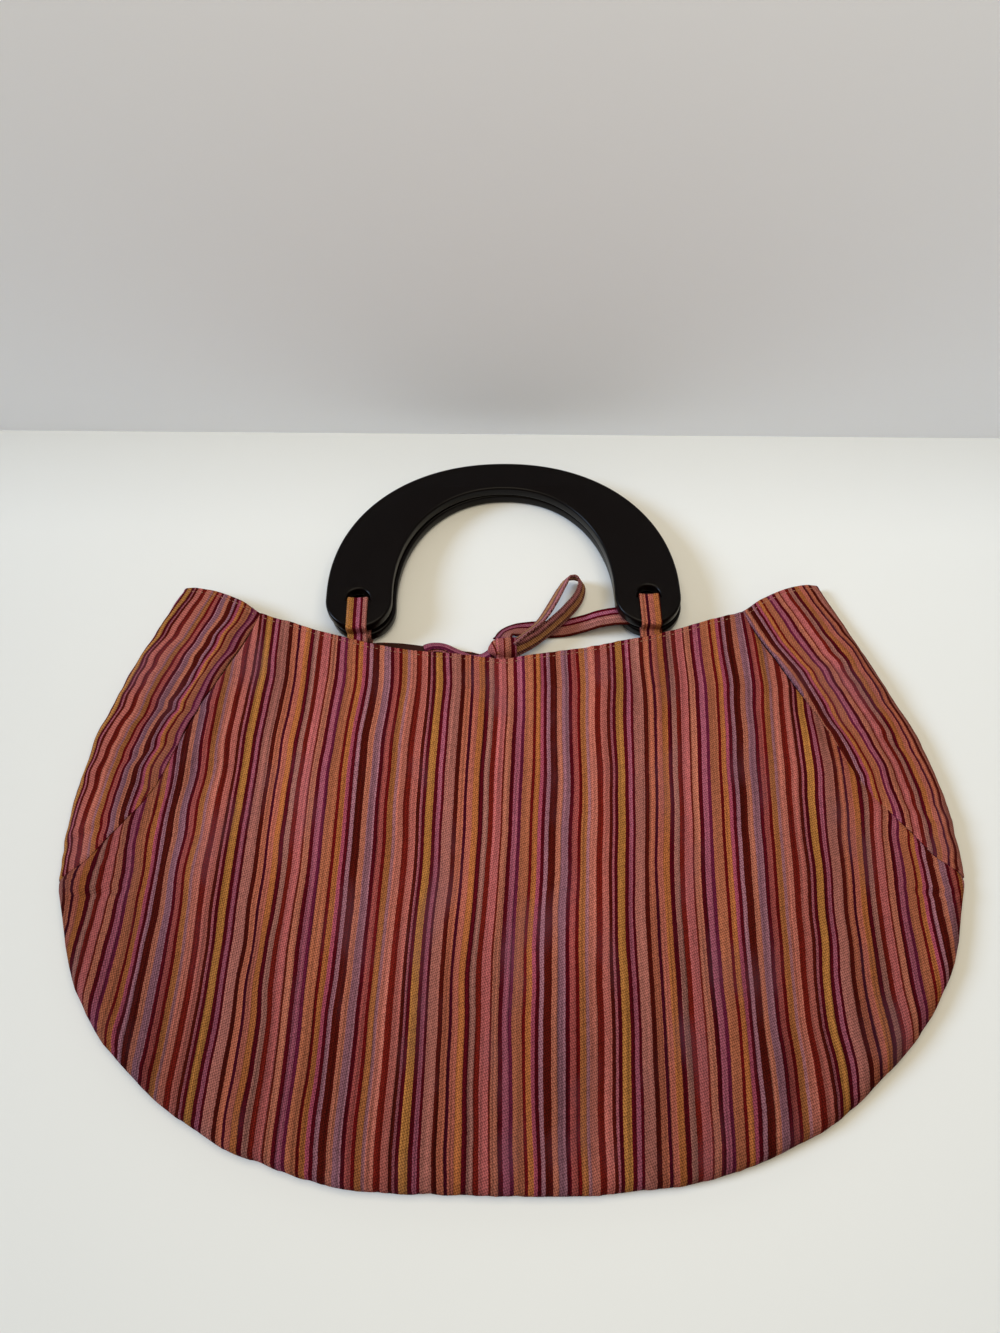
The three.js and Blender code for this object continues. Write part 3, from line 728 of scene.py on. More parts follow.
def capped_faces(rings: int, around: int, base: int = 0) -> list[tuple[int, ...]]:
    """Faces of a closed bar: its sides and its two ends.

    Args:
        rings: number of rings.
        around: corners in each ring.
        base: number of the first corner.

    Returns:
        The faces.
    """
    last = base + (rings - 1) * around
    first_end = tuple(base + step for step in reversed(range(around)))
    last_end = tuple(last + step for step in range(around))
    return ring_faces(rings, around, base) + [first_end, last_end]


def weld() -> None:
    """Joins corners of the active object that lie on each other and turns all faces out."""
    bpy.ops.object.mode_set(mode="EDIT")
    bpy.ops.mesh.select_all(action="SELECT")
    bpy.ops.mesh.remove_doubles(threshold=WELD_DISTANCE)
    bpy.ops.mesh.normals_make_consistent(inside=False)
    bpy.ops.object.mode_set(mode="OBJECT")


def select_only(piece: Piece) -> None:
    """Makes one object the only selected and active one.

    Args:
        piece: the object.
    """
    bpy.ops.object.select_all(action="DESELECT")
    piece.select_set(True)
    bpy.context.view_layer.objects.active = piece


def wall_mesh(
    points: Array,
    normals: Array,
    flat: Array,
    thickness: float,
    first_bulge: Array,
    last_bulge: Array,
) -> MeshParts:
    """Closed cloth wall from its outside surface, with rounded first and last edges.

    Args:
        points: rows by columns of outside points.
        normals: outward directions.
        flat: places on the flat cloth, rows by columns by 2.
        thickness: thickness of the wall.
        first_bulge: how far the first edge rounds out, 0 to 1, by column.
        last_bulge: the same for the last edge.

    Returns:
        The closed mesh.
    """
    half = thickness / 2.0
    turns = (math.pi * 0.25, math.pi * 0.5, math.pi * 0.75)

    def rim(row: int, beyond: int, bulge: Array) -> list[Array]:
        face = normals[row]
        middle = points[row] - face * half
        outward = unit(points[row] - points[beyond])
        outward = unit(outward - face * np.sum(outward * face, axis=-1, keepdims=True))
        return [
            middle + face * half * math.cos(turn) + outward * (half * math.sin(turn) * bulge)[:, None]
            for turn in turns
        ]

    inside = points - normals * thickness
    first = rim(0, 1, first_bulge)
    last = rim(-1, -2, last_bulge)
    rows = list(points) + last + list(inside[::-1]) + first[::-1]
    flats = list(flat) + [flat[-1]] * len(last) + list(flat[::-1]) + [flat[0]] * len(first)
    grid = np.array(rows)
    count, columns = grid.shape[:2]
    faces = []
    for row in range(count):
        here, after = row * columns, (row + 1) % count * columns
        for place in range(columns - 1):
            faces.append((here + place, here + place + 1, after + place + 1, after + place))
    depth = len(points)
    for place, turned in ((0, False), (columns - 1, True)):
        for row in range(depth - 1):
            inner = depth + len(last) + (depth - 1 - row)
            corners = tuple(index * columns + place for index in (row, row + 1, inner - 1, inner))
            faces.append(tuple(reversed(corners)) if turned else corners)
        first_ring = [depth * 2 + len(last) + step for step in range(len(first))]
        last_ring = [depth + step for step in range(len(last))]
        top = tuple(index * columns + place for index in (0, depth * 2 + len(last) - 1, *first_ring))
        low = tuple(index * columns + place for index in (depth - 1, *last_ring, depth + len(last)))
        faces.append(tuple(reversed(top)) if turned else top)
        faces.append(tuple(reversed(low)) if turned else low)
    return MeshParts(grid.reshape(-1, 3), faces, np.array(flats).reshape(-1, 2))


@dataclass(frozen=True)
class Stitch:
    """Sizes of one kind of stitch, in mm, and how its thread swells and sinks."""

    length: float
    gap: float
    radius: float
    around: int = 6
    slack: float = 0.12
    slip: float = 0.3
    sway: float = 0.5
    rise: float = 0.55
    sink: float = 0.35
    # Share of the length, share of the full radius
    sections: Profile = ((0.0, 0.25), (0.16, 0.85), (0.5, 1.0), (0.84, 0.85), (1.0, 0.25))


HEM_STITCH = Stitch(1.5, 1.0, 0.24)
RIBBON_STITCH = Stitch(1.6, 0.8, 0.2)


def stitch_mesh(path: Array, normals: Array, stitch: Stitch, seed: int = 1) -> MeshParts:
    """Row of sewn stitches lying along a path.

    Args:
        path: points close together along the sewn line, in mm.
        normals: outward directions of the cloth there.
        stitch: sizes of the stitches.
        seed: number of the row, which varies its stitches.

    Returns:
        The mesh of all stitches.
    """
    distance = arc_length(path)
    pitch = stitch.length + stitch.gap
    corners: list[Array] = []
    faces: list[tuple[int, ...]] = []
    for number in range(int(distance[-1] // pitch)):
        start = number * pitch + stitch.gap * 0.5
        chance = value_noise(np.array(number * 1.7), np.array(seed * 3.1), (1.0, 1.0), seed)
        slack = stitch.slack * float(chance)
        faces.extend(capped_faces(len(stitch.sections), stitch.around, len(corners)))
        for share, width in stitch.sections:
            at = start + (share + slack * stitch.slip) * stitch.length
            centre = read_along(at, distance, path)
            ahead = read_along(at + 0.3, distance, path) - centre
            normal = unit(read_along(at, distance, normals))
            across = unit(np.cross(normal, ahead + 1e-9))
            centre = centre + across * slack * stitch.sway
            sunk = centre + normal * stitch.radius * (stitch.rise * width - stitch.sink)
            for step in range(stitch.around):
                turn = 2.0 * math.pi * step / stitch.around
                spoke = across * math.cos(turn) + normal * math.sin(turn)
                corners.append(sunk + spoke * stitch.radius * width)
    places = np.array(corners)
    return MeshParts(places, faces, places[:, :2].copy())


# Shader work


def linear(colour: str) -> tuple[float, float, float, float]:
    """Linear colour of a hex colour.

    Args:
        colour: such as "#9b5a55".

    Returns:
        Red, green, blue and alpha.
    """
    channels = [int(colour[place : place + 2], 16) / 255.0 for place in (1, 3, 5)]
    curved = [c / 12.92 if c <= 0.04045 else ((c + 0.055) / 1.055) ** 2.4 for c in channels]
    return (curved[0], curved[1], curved[2], 1.0)


@dataclass
class Nodes:
    """Short names for building a material's or a group's node tree."""

    tree: Tree

    def add(self, kind: str, **settings: object) -> bpy.types.Node:
        """Adds a node.

        Args:
            kind: Blender's node type.
            settings: values set on the node.

        Returns:
            The node.
        """
        node = self.tree.nodes.new(kind)
        for name, value in settings.items():
            setattr(node, name, value)
        return node

    def feed(self, socket: Socket, value: object) -> None:
        """Links or sets an input.

        Args:
            socket: the input.
            value: an output socket, or the value itself.
        """
        if isinstance(value, Socket):
            self.tree.links.new(value, socket)
        else:
            socket.default_value = value

    def math(self, operation: str, first: object, second: object = 0.0) -> Socket:
        """Adds a math node.

        Args:
            operation: Blender's name for it.
            first: first input.
            second: second input.

        Returns:
            Its output.
        """
        node = self.add("ShaderNodeMath", operation=operation)
        self.feed(node.inputs[0], first)
        self.feed(node.inputs[1], second)
        return node.outputs[0]

    def plus(self, first: object, second: object) -> Socket:
        """Adds two values.

        Args:
            first: first value.
            second: second value.

        Returns:
            Their sum.
        """
        return self.math("ADD", first, second)

    def minus(self, first: object, second: object) -> Socket:
        """Takes one value from another.

        Args:
            first: the value.
            second: what is taken away.

        Returns:
            The difference.
        """
        return self.math("SUBTRACT", first, second)

    def times(self, first: object, second: object) -> Socket:
        """Multiplies two values.

        Args:
            first: first value.
            second: second value.

        Returns:
            Their product.
        """
        return self.math("MULTIPLY", first, second)

    def wave(self, turns: object) -> Socket:
        """Sine wave.

        Args:
            turns: how many waves have passed.

        Returns:
            Its value, from -1 to 1.
        """
        return self.math("SINE", self.times(turns, 2.0 * math.pi))

    def ease(
        self, value: object, start: float, end: float, least: float = 0.0, most: float = 1.0
    ) -> Socket:
        """Smooth step from one value to another.

        Args:
            value: what it follows.
            start: where the step starts.
            end: where it ends.
            least: value at the start.
            most: value at the end.

        Returns:
            The stepped value.
        """
        node = self.add("ShaderNodeMapRange", interpolation_type="SMOOTHSTEP")
        for socket, given in zip(node.inputs, (value, start, end, least, most)):
            self.feed(socket, given)
        return node.outputs[0]

    def shade(self, colour: object, strength: object) -> Socket:
        """Multiplies a colour by one value.

        Args:
            colour: the colour.
            strength: the value.

        Returns:
            The shaded colour.
        """
        grey = self.add("ShaderNodeCombineColor")
        for socket in grey.inputs:
            self.feed(socket, strength)
        return self.blend(1.0, colour, grey.outputs[0], "MULTIPLY")

    def bump(self, height: object, strength: float, depth: float) -> Socket:
        """Adds fine relief.

        Args:
            height: the relief.
            strength: how strong it looks.
            depth: how high it is, in metres.

        Returns:
            The normal.
        """
        node = self.add("ShaderNodeBump")
        node.inputs["Strength"].default_value = strength
        node.inputs["Distance"].default_value = depth
        self.feed(node.inputs["Height"], height)
        return node.outputs[0]

    def blend(
        self, share: object, first: object, second: object, kind: str = "MIX"
    ) -> Socket:
        """Mixes two colours.

        Args:
            share: how much of the second.
            first: first colour.
            second: second colour.
            kind: Blender's blend type.

        Returns:
            The mixed colour.
        """
        node = self.add("ShaderNodeMix", data_type="RGBA", blend_type=kind)
        self.feed(node.inputs[0], share)
        self.feed(node.inputs[6], first)
        self.feed(node.inputs[7], second)
        return node.outputs[2]

    def noise(
        self, vector: object, scale: float, detail: float = 2.0, roughness: float = 0.5
    ) -> Socket:
        """Adds a noise texture.

        Args:
            vector: where it is read.
            scale: how fine it is.
            detail: how many finer layers it has.
            roughness: how strong they are.

        Returns:
            Its value, about 0.5 on average.
        """
        node = self.add("ShaderNodeTexNoise")
        self.feed(node.inputs["Vector"], vector)
        node.inputs["Scale"].default_value = scale
        node.inputs["Detail"].default_value = detail
        node.inputs["Roughness"].default_value = roughness
        return node.outputs[0]

    def stretch(self, vector: object, along: float) -> Socket:
        """Draws a pattern out along the cloth's second axis.

        Args:
            vector: the coordinates.
            along: factor on that axis, below 1 for a longer pattern.

        Returns:
            The new coordinates.
        """
        node = self.add("ShaderNodeMapping")
        self.feed(node.inputs["Vector"], vector)
        node.inputs["Scale"].default_value = (1.0, along, 1.0)
        return node.outputs[0]


def stripe_ramp(
    nodes: Nodes, place: Socket, from_share: float, to_share: float
) -> Socket:
    """Colours of one stretch of the stripe repeat.

    Args:
        nodes: the tree being built.
        place: share of the repeat.
        from_share: where the stretch starts.
        to_share: where it ends.

    Returns:
        The colour.
    """
    total = sum(width for _, width in STRIPE_CHART)
    stops = []
    start = 0.0
    for yarn, width in STRIPE_CHART:
        end = start + width / total
        if end > from_share and start < to_share:
            stops.append((max(0.0, (start - from_share) / (to_share - from_share)), yarn))
        start = end
    ramp = nodes.add("ShaderNodeValToRGB")
    ramp.color_ramp.interpolation = "CONSTANT"
    elements = ramp.color_ramp.elements
    while len(elements) > 1:
        elements.remove(elements[-1])
    elements[0].position = stops[0][0]
    elements[0].color = linear(stops[0][1].value)
    for position, yarn in stops[1:]:
        elements.new(position).color = linear(yarn.value)
    nodes.feed(ramp.inputs[0], nodes.math("DIVIDE", nodes.minus(place, from_share), to_share - from_share))
    return ramp.outputs[0]


@dataclass(frozen=True)
class WeaveLook:
    """How the striped weave looks. Scales are waves or bumps in a metre of flat cloth."""

    yarn_scale: float = 2600.0
    yarn_stretch: float = 0.16
    yarn_jitter: float = 0.0042
    dye_gamma: float = 1.1
    slub_scale: float = 620.0
    slub_stretch: float = 0.6
    slub_roughness: float = 0.75
    steep_twill: tuple[float, float] = (980.0, 420.0)
    level_twill: tuple[float, float] = (330.0, 840.0)
    twill_share: float = 0.22
    slub_share: float = 0.8
    speck_start: float = 0.6
    speck_end: float = 1.2
    dark_between: float = 0.56
    speck_gain: float = 0.86
    fleck_colour: str = "#dcb0a6"
    # Painted shade of broad soft folds: random darker and lighter patches drawn out along the stripes
    painted_fold_shade_scale: float = 30.0
    patch_stretch: float = 0.45
    painted_fold_shade_share: float = 0.7
    streak_scale: float = 900.0
    streak_stretch: float = 0.006
    streak_roughness: float = 0.6
    streak_share: float = 2.0
    tone_offset: float = 0.35
    # Painted shade where the cloth gets darker towards its lower, left and right sides: start, end, tone at
    # the start
    painted_shade_low: Triple = (-0.13, 0.04, 0.76)
    painted_shade_left: Triple = (-0.19, -0.02, 0.58)
    painted_shade_right: Triple = (0.2, 0.1, 0.92)
    bruise_scale: float = 34.0
    bruise_start: float = 0.52
    bruise_end: float = 0.72
    bruise_share: float = 0.22
    bruise_colour: str = "#6a4c5a"
    rib_scale: float = 1150.0
    speck_height: float = 0.6
    rib_height: float = 0.25


@dataclass
class StripedWeave:
    """The striped weave on the flat-cloth coordinates, in a tree being built."""

    nodes: Nodes
    cloth: Socket
    across: Socket
    along: Socket
    look: WeaveLook = WeaveLook()

    def stripes(self) -> Socket:
        """Dyed stripes, with edges that follow single yarns.

        Returns:
            The colour.
        """
        nodes, look = self.nodes, self.look
        yarns = nodes.noise(nodes.stretch(self.cloth, look.yarn_stretch), look.yarn_scale, 1.0)
        jitter = nodes.times(nodes.minus(yarns, 0.5), look.yarn_jitter)
        repeats = nodes.math("DIVIDE", self.across, STRIPE_PITCH * MM)
        share = nodes.math("FRACT", nodes.plus(repeats, jitter))
        low, high = stripe_ramp(nodes, share, 0.0, 0.5), stripe_ramp(nodes, share, 0.5, 1.0)
        dyed = nodes.add("ShaderNodeGamma")
        nodes.feed(dyed.inputs[0], nodes.blend(nodes.math("GREATER_THAN", share, 0.5), low, high))
        nodes.feed(dyed.inputs[1], look.dye_gamma)
        return dyed.outputs[0]

    def specks(self) -> Socket:
        """Crossed twill lines, uneven where the yarn is thick or thin.

        Returns:
            How far each place stands out.
        """
        nodes, look = self.nodes, self.look
        drawn_out = nodes.stretch(self.cloth, look.slub_stretch)
        slub = nodes.noise(drawn_out, look.slub_scale, 2.0, look.slub_roughness)
        steep = nodes.plus(
            nodes.times(self.across, look.steep_twill[0]), nodes.times(self.along, look.steep_twill[1])
        )
        level = nodes.minus(
            nodes.times(self.along, look.level_twill[1]), nodes.times(self.across, look.level_twill[0])
        )
        crossed = nodes.plus(nodes.wave(nodes.plus(steep, slub)), nodes.wave(nodes.minus(level, slub)))
        twill = nodes.plus(nodes.times(crossed, look.twill_share), 0.5)
        return nodes.plus(twill, nodes.times(slub, look.slub_share))

    def wear_and_painted_shade(self) -> Socket:
        """Painted shade of soft folds as random darker and lighter patches, streaks along the yarns, and
        painted shade that darkens the cloth towards its lower, left and right sides.

        Returns:
            The tone.
        """
        nodes, look = self.nodes, self.look
        # Painted shade of broad soft folds, laid as random patches
        painted_fold_shade = nodes.noise(nodes.stretch(self.cloth, look.patch_stretch), look.painted_fold_shade_scale, 3.0)
        drawn_out = nodes.stretch(self.cloth, look.streak_stretch)
        streaks = nodes.noise(drawn_out, look.streak_scale, 2.0, look.streak_roughness)
        uneven = nodes.plus(nodes.times(painted_fold_shade, look.painted_fold_shade_share), nodes.times(streaks, look.streak_share))
        tone = nodes.minus(uneven, look.tone_offset)
        # Painted shade: the tone falls towards the lower, left and right sides of the cloth
        edges = ((self.along, look.painted_shade_low), (self.across, look.painted_shade_left), (self.across, look.painted_shade_right))
        for place, (start, end, least) in edges:
            tone = nodes.times(tone, nodes.ease(place, start, end, least))
        return tone

    def bruise(self) -> Socket:
        """Soft patches where the dye has turned.

        Returns:
            How strong they are.
        """
        nodes, look = self.nodes, self.look
        patches = nodes.noise(nodes.stretch(self.cloth, look.patch_stretch), look.bruise_scale, 3.0)
        return nodes.ease(patches, look.bruise_start, look.bruise_end, 0.0, look.bruise_share)


def woven_stripes_group() -> Tree:
    """Shared effect: colour, with painted shade, and height of the striped weave.

    Returns:
        The node group, which takes the flat-cloth coordinates and the share of pale flecks.
    """
    tree = bpy.data.node_groups.new("woven_stripes", "ShaderNodeTree")
    for name, way, kind in (
        ("Cloth", "INPUT", "Vector"), ("Fleck", "INPUT", "Float"),
        ("Color", "OUTPUT", "Color"), ("Height", "OUTPUT", "Float"),
    ):
        tree.interface.new_socket(name, in_out=way, socket_type=f"NodeSocket{kind}")
    nodes = Nodes(tree)
    cloth, fleck = nodes.add("NodeGroupInput").outputs[:2]
    split = nodes.add("ShaderNodeSeparateXYZ")
    nodes.feed(split.inputs[0], cloth)
    weave = StripedWeave(nodes, cloth, split.outputs[0], split.outputs[1])
    look, specks = weave.look, weave.specks()
    mask = nodes.ease(specks, look.speck_start, look.speck_end)
    flecked = nodes.blend(nodes.times(mask, fleck), weave.stripes(), linear(look.fleck_colour))
    woven = nodes.shade(flecked, nodes.plus(look.dark_between, nodes.times(mask, look.speck_gain)))
    # This tone holds painted shade of folds and of the cloth's sides, besides the streaks along the yarns
    worn = nodes.shade(woven, weave.wear_and_painted_shade())
    ribs = nodes.math("ABSOLUTE", nodes.wave(nodes.times(weave.across, look.rib_scale)))
    out = nodes.add("NodeGroupOutput")
    nodes.feed(out.inputs[0], nodes.blend(weave.bruise(), worn, linear(look.bruise_colour)))
    height = nodes.plus(nodes.times(specks, look.speck_height), nodes.times(ribs, look.rib_height))
    nodes.feed(out.inputs[1], height)
    return tree


@dataclass(frozen=True)
class ClothFinish:
    """Finish of a woven cotton."""

    name: str
    tint: Triple = (0.88, 0.78, 0.82)
    fleck: float = 0.0
    roughness: float = 0.92
    specular: float = 0.03
    bump: float = 0.25
    bump_depth: float = 0.00025


@dataclass(frozen=True)
class PlainFinish:
    """Finish of one colour."""

    name: str
    colour: str
    roughness: float
    specular: float = 0.4
    mottle: float = 0.0
    mottle_scale: float = 40.0
    bump: float = 0.0
    bump_scale: float = 900.0
    bump_depth: float = 0.0002


CLOTH_FINISH = ClothFinish("striped_cotton_look")
RIBBON_FINISH = ClothFinish("tie_cotton_look", tint=(0.8, 0.74, 0.82))
WORN_RIBBON_FINISH = ClothFinish("tie_bow_look", tint=(0.86, 0.8, 0.8), fleck=0.2)
LINING_FINISH = PlainFinish("lining_look", "#32150d", 0.9, 0.2, mottle=0.3, mottle_scale=300.0, bump=0.3)
WOOD_FINISH = PlainFinish(
    "dark_wood_look", "#070303", 0.28, 0.1, mottle=0.35, mottle_scale=60.0, bump=0.05, bump_scale=500.0
)
THREAD_FINISH = PlainFinish("thread_look", "#a06e56", 0.8, 0.2, mottle=0.45, mottle_scale=500.0)
FLOOR_FINISH = PlainFinish(
    "floor_look", "#dadad7", 0.5, 0.3, mottle=0.02, mottle_scale=9.0, bump=0.04, bump_scale=260.0
)
WALL_FINISH = PlainFinish(
    "wall_look", "#f4f7ff", 0.6, 0.3, mottle=0.03, mottle_scale=5.0, bump=0.08, bump_scale=120.0
)


def new_material(name: str) -> tuple[Material, Nodes, bpy.types.Node]:
    """Starts a material with one principled shader.

    Args:
        name: name of the material.

    Returns:
        The material, its tree and the shader node.
    """
    material = bpy.data.materials.new(name)
    material.use_nodes = True
    shader = material.node_tree.nodes["Principled BSDF"]
    return material, Nodes(material.node_tree), shader


def striped_material(finish: ClothFinish, group: Tree) -> Material:
    """Material of the striped cotton.

    Args:
        finish: its settings.
        group: the woven stripes group.

    Returns:
        The material.
    """
    material, nodes, shader = new_material(finish.name)
    flat = nodes.add("ShaderNodeUVMap", uv_map=CLOTH_UV)
    weave = nodes.add("ShaderNodeGroup")
    weave.node_tree = group
    nodes.feed(weave.inputs["Cloth"], flat.outputs[0])
    nodes.feed(weave.inputs["Fleck"], finish.fleck)
    tinted = nodes.blend(1.0, weave.outputs["Color"], (*finish.tint, 1.0), "MULTIPLY")
    nodes.feed(shader.inputs["Base Color"], tinted)
    nodes.feed(shader.inputs["Roughness"], finish.roughness)
    nodes.feed(shader.inputs["Specular IOR Level"], finish.specular)
    nodes.feed(shader.inputs["Normal"], nodes.bump(weave.outputs["Height"], finish.bump, finish.bump_depth))
    return material


def plain_material(finish: PlainFinish) -> Material:
    """Material of one colour with a soft mottle and fine relief.

    Args:
        finish: its settings.

    Returns:
        The material.
    """
    material, nodes, shader = new_material(finish.name)
    place = nodes.add("ShaderNodeTexCoord").outputs["Object"]
    colour = linear(finish.colour)
    mottle = nodes.noise(place, finish.mottle_scale, 4.0, 0.6)
    dark = tuple(channel * (1.0 - finish.mottle) for channel in colour[:3]) + (1.0,)
    nodes.feed(shader.inputs["Base Color"], nodes.blend(mottle, dark, colour))
    nodes.feed(shader.inputs["Roughness"], finish.roughness)
    nodes.feed(shader.inputs["Specular IOR Level"], finish.specular)
    if finish.bump > 0.0:
        relief = nodes.noise(place, finish.bump_scale, 2.0)
        nodes.feed(shader.inputs["Normal"], nodes.bump(relief, finish.bump, finish.bump_depth))
    return material


@dataclass(frozen=True)
class Finishes:
    """Every material of the bag."""

    cloth: Material
    ribbon: Material
    worn_ribbon: Material
    lining: Material
    wood: Material
    thread: Material


def make_finishes() -> Finishes:
    """Builds the materials.

    Returns:
        All finishes.
    """
    group = woven_stripes_group()
    return Finishes(
        cloth=striped_material(CLOTH_FINISH, group),
        ribbon=striped_material(RIBBON_FINISH, group),
        worn_ribbon=striped_material(WORN_RIBBON_FINISH, group),
        lining=plain_material(LINING_FINISH),
        wood=plain_material(WOOD_FINISH),
        thread=plain_material(THREAD_FINISH),
    )


def finish_piece(
    piece: Piece, material: Material, nodes: tuple[str, ...] = ()
) -> Piece:
    """Gives a piece its material and its body, and hides the CAD nodes that it stands for.

    Args:
        piece: the piece.
        material: its finish.
        nodes: CAD nodes that it stands for.

    Returns:
        The piece.
    """
    piece.data.materials.clear()
    piece.data.materials.append(material)
    if nodes:
        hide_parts(*nodes)
    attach(piece, ROOT)
    return piece


# Cloth body


@dataclass(frozen=True)
class LiningShape:
    """Sizes of the lining pouch inside the bag, in mm."""

    wall: float = 0.8
    inset: float = 5.0
    # Degrees down the rounded bottom where its side turns into its bottom, and the share of rows above
    corner_turn: float = 50.0
    side_share: float = 0.625
    front_drop: float = 7.0
    back_drop: float = 0.8
    front_gap: float = 1.8
    back_gap: float = 0.5
    crumple: float = 0.35
    round_edge: float = 0.8
    rows: int = 60
    columns: int = 140


@dataclass
class ClothBody:
    """Main panels, side panels, lining and the stitching on them."""

    shape: BagShape
    finishes: Finishes
    pouch: LiningShape = LiningShape()
    hem_columns: int = 150
    seam_columns: int = 46
    panel_rows: int = 150
    side_rows: int = 110
    side_columns: int = 56
    stitch_in: float = 1.9
    settle_turn: float = 0.0085
    mouth_sag: float = 1.9
    mouth_sag_x: float = -62.0
    mouth_sag_width: float = 52.0
    # Local pulls of the laid cloth: x, y, size across, size along, shift in x, shift in y
    pulls: Creases = (
        (-200, 90, 40, 60, -1.2, 0.0), (-170, -90, 60, 50, 0.0, -1.0), (215, 10, 40, 70, 1.9, 0.0),
    )
    # Length of the side seam and of the outline by one degree
    seam_length: float = 190.0
    outline_step: float = 3.1
    seam_gap: float = 0.14
    # Depth and width of the grooves where it is sewn
    seam_groove: tuple[float, float] = (0.45, 1.2)
    hem_groove: tuple[float, float] = (0.22, 0.7)
    # How round its cut edges are, from 0 to 1
    hem_round: float = 0.9
    seam_round: float = 0.12
    side_seam_round: float = 0.15
    # Cloth taken up across a side panel, and where its fold lies in the stripe repeat
    side_easing: float = 1.22
    left_phase: float = 43.0 - STRIPE_PITCH
    right_phase: float = 39.5 + 2.0 * STRIPE_PITCH
    edge_waves: Waves = ((0.45, 17, 1, 11), (0.26, 6, 1, 12), (0.14, 2.6, 1, 13))
    broad_waves: Waves = ((1.35, 34, 56, 21), (0.55, 13, 50, 22))
    fine_waves: Waves = ((0.14, 6, 11, 23), (0.05, 3.6, 4.4, 24))
    edge_gathers: Waves = ((0.42, 7, 1, 25),)
    side_gathers: Waves = ((0.5, 9, 4.5, 26),)
    seam_puckers: Waves = ((0.3, 5, 1, 31),)
    seam_sags: Waves = ((0.45, 19, 1, 32),)
    hem_gathers: Waves = ((0.16, 3.4, 1, 33),)
    hem_scallops: Waves = ((0.22, 3.4, 1, 34),)
    side_kinks: Waves = ((1.3, 24, 11, 51), (0.6, 11, 6, 52))
    # Short sharp creases beside the seams: x, y, heading in degrees, along, across, depth
    pinches: Creases = (
        (-172, 88, -12, 19, 2.4, 1.1),
        (-186, 62, 24, 15, 2.2, 0.8),
        (-160, 108, 40, 14, 2.0, 0.7),
        (-206, 22, 30, 13, 2.0, 0.8),
        (-150, 64, 62, 26, 3.0, 0.8),
        (-196, -8, 8, 16, 2.0, 0.8),
        (178, 104, -42, 16, 2.2, -0.8),
        (192, 70, -30, 16, 2.2, 0.9),
        (205, 30, -38, 13, 2.0, 0.8),
        (162, 70, -62, 26, 3.0, 0.8),
        (200, -10, -10, 16, 2.0, 0.8),
        (-120, 92, 78, 30, 4.0, 0.6),
        (-122, 5, 84, 75, 13.0, 1.7),
        (-96, -70, 80, 50, 9.0, 0.9),
        (64, -20, 94, 80, 12.0, 1.0),
        (-30, -60, 87, 60, 10.0, 0.9),
        (140, -60, 104, 50, 9.0, 1.0),
        (128, 88, -80, 32, 4.0, 0.6),
    )

    def build(self) -> list[Piece]:
        """Builds every piece of the body.

        Returns:
            The pieces.
        """
        front = self.main_panel(Side.FRONT)
        back = self.main_panel(Side.BACK)
        sides = [self.side_panel(hand) for hand in Hand]
        linings = [self.lining(side) for side in Side]
        return [front, back, *sides, *linings]

    def edge_waver(self, x: Array, y: Array) -> Array:
        """How far the seam at the outline wavers in and out.

        Args:
            x: places across.
            y: places along.

        Returns:
            Distances towards the middle.
        """
        return waves(self.edge_waves, self.round_run(x, y)) * np.exp(-self.shape.in_from_edge(x, y) / 7.0)

    def round_run(self, x: Array, y: Array) -> Array:
        """How far round the bag's outline a place is.

        Args:
            x: places across.
            y: places along.

        Returns:
            Distances along the outline, roughly.
        """
        return np.degrees(np.arctan2(y - self.shape.side_point_y, x)) * self.outline_step

    def settled(self, points: Array, sagging: Array | float = 1.0) -> Array:
        """Small shift of the laid cloth: turned a little, pulled in places, sagging at the mouth's left.

        Args:
            points: points of the cloth.
            sagging: share of the mouth's sag that the points take.

        Returns:
            The shifted points.
        """
        x, y = points[..., 0], points[..., 1]
        moved = points.copy()
        sag = self.mouth_sag * hill(x - self.mouth_sag_x, self.mouth_sag_width) * smooth((y - 30.0) / 80.0)
        moved[..., 0] = x - self.settle_turn * y
        moved[..., 1] = y + self.settle_turn * x - sag * sagging
        for middle_x, middle_y, across, along, shift_x, shift_y in self.pulls:
            share = hill(x - middle_x, across) * hill(y - middle_y, along)
            moved[..., 0] += shift_x * share
            moved[..., 1] += shift_y * share
        return moved

    def relief(self, x: Array, y: Array, side: Side) -> Array:
        """Fine waves of the cloth, on top of its main shape.

        Args:
            x: places across.
            y: places along.
            side: front or back.

        Returns:
            Distances outwards.
        """
        edge = self.shape.in_from_edge(x, y)
        cloth = smooth(edge / 16.0) * (waves(self.broad_waves, x, y) + waves(self.fine_waves, x, y))
        rim = hill(edge - 7.0, 6.0)
        beside = hill(y + 8.0, 42.0) * smooth((np.abs(x) - 160.0) / 40.0)
        gathers = waves(self.edge_gathers, self.round_run(x, y)) + beside * waves(self.side_gathers, x, y)
        strength = 1.0 if side is Side.FRONT else 0.25
        pinched = np.zeros_like(x)
        for middle_x, middle_y, heading, along, across, depth in self.pinches:
            lengthwise, crosswise = crease_frame(x - middle_x, y - middle_y, heading, along, across)
            # Each crease sinks in and stands up again a little beside it
            crease = hill(crosswise, 1.0) - 0.6 * hill(crosswise - 1.9, 1.0)
            pinched = pinched - depth * crease * hill(lengthwise, 1.0)
        return strength * (cloth + rim * gathers + pinched)

    def seam_dip(self, distance: Array, run: Array) -> Array:
        """Groove and puckers beside a seam.

        Args:
            distance: distance from the seam.
            run: distance along it.

        Returns:
            Distances outwards.
        """
        depth, width = self.seam_groove
        puckers = waves(self.seam_puckers, run) * hill(distance, 4.5)
        return puckers + waves(self.seam_sags, run) * hill(distance, 10.0) - depth * hill(distance, width)

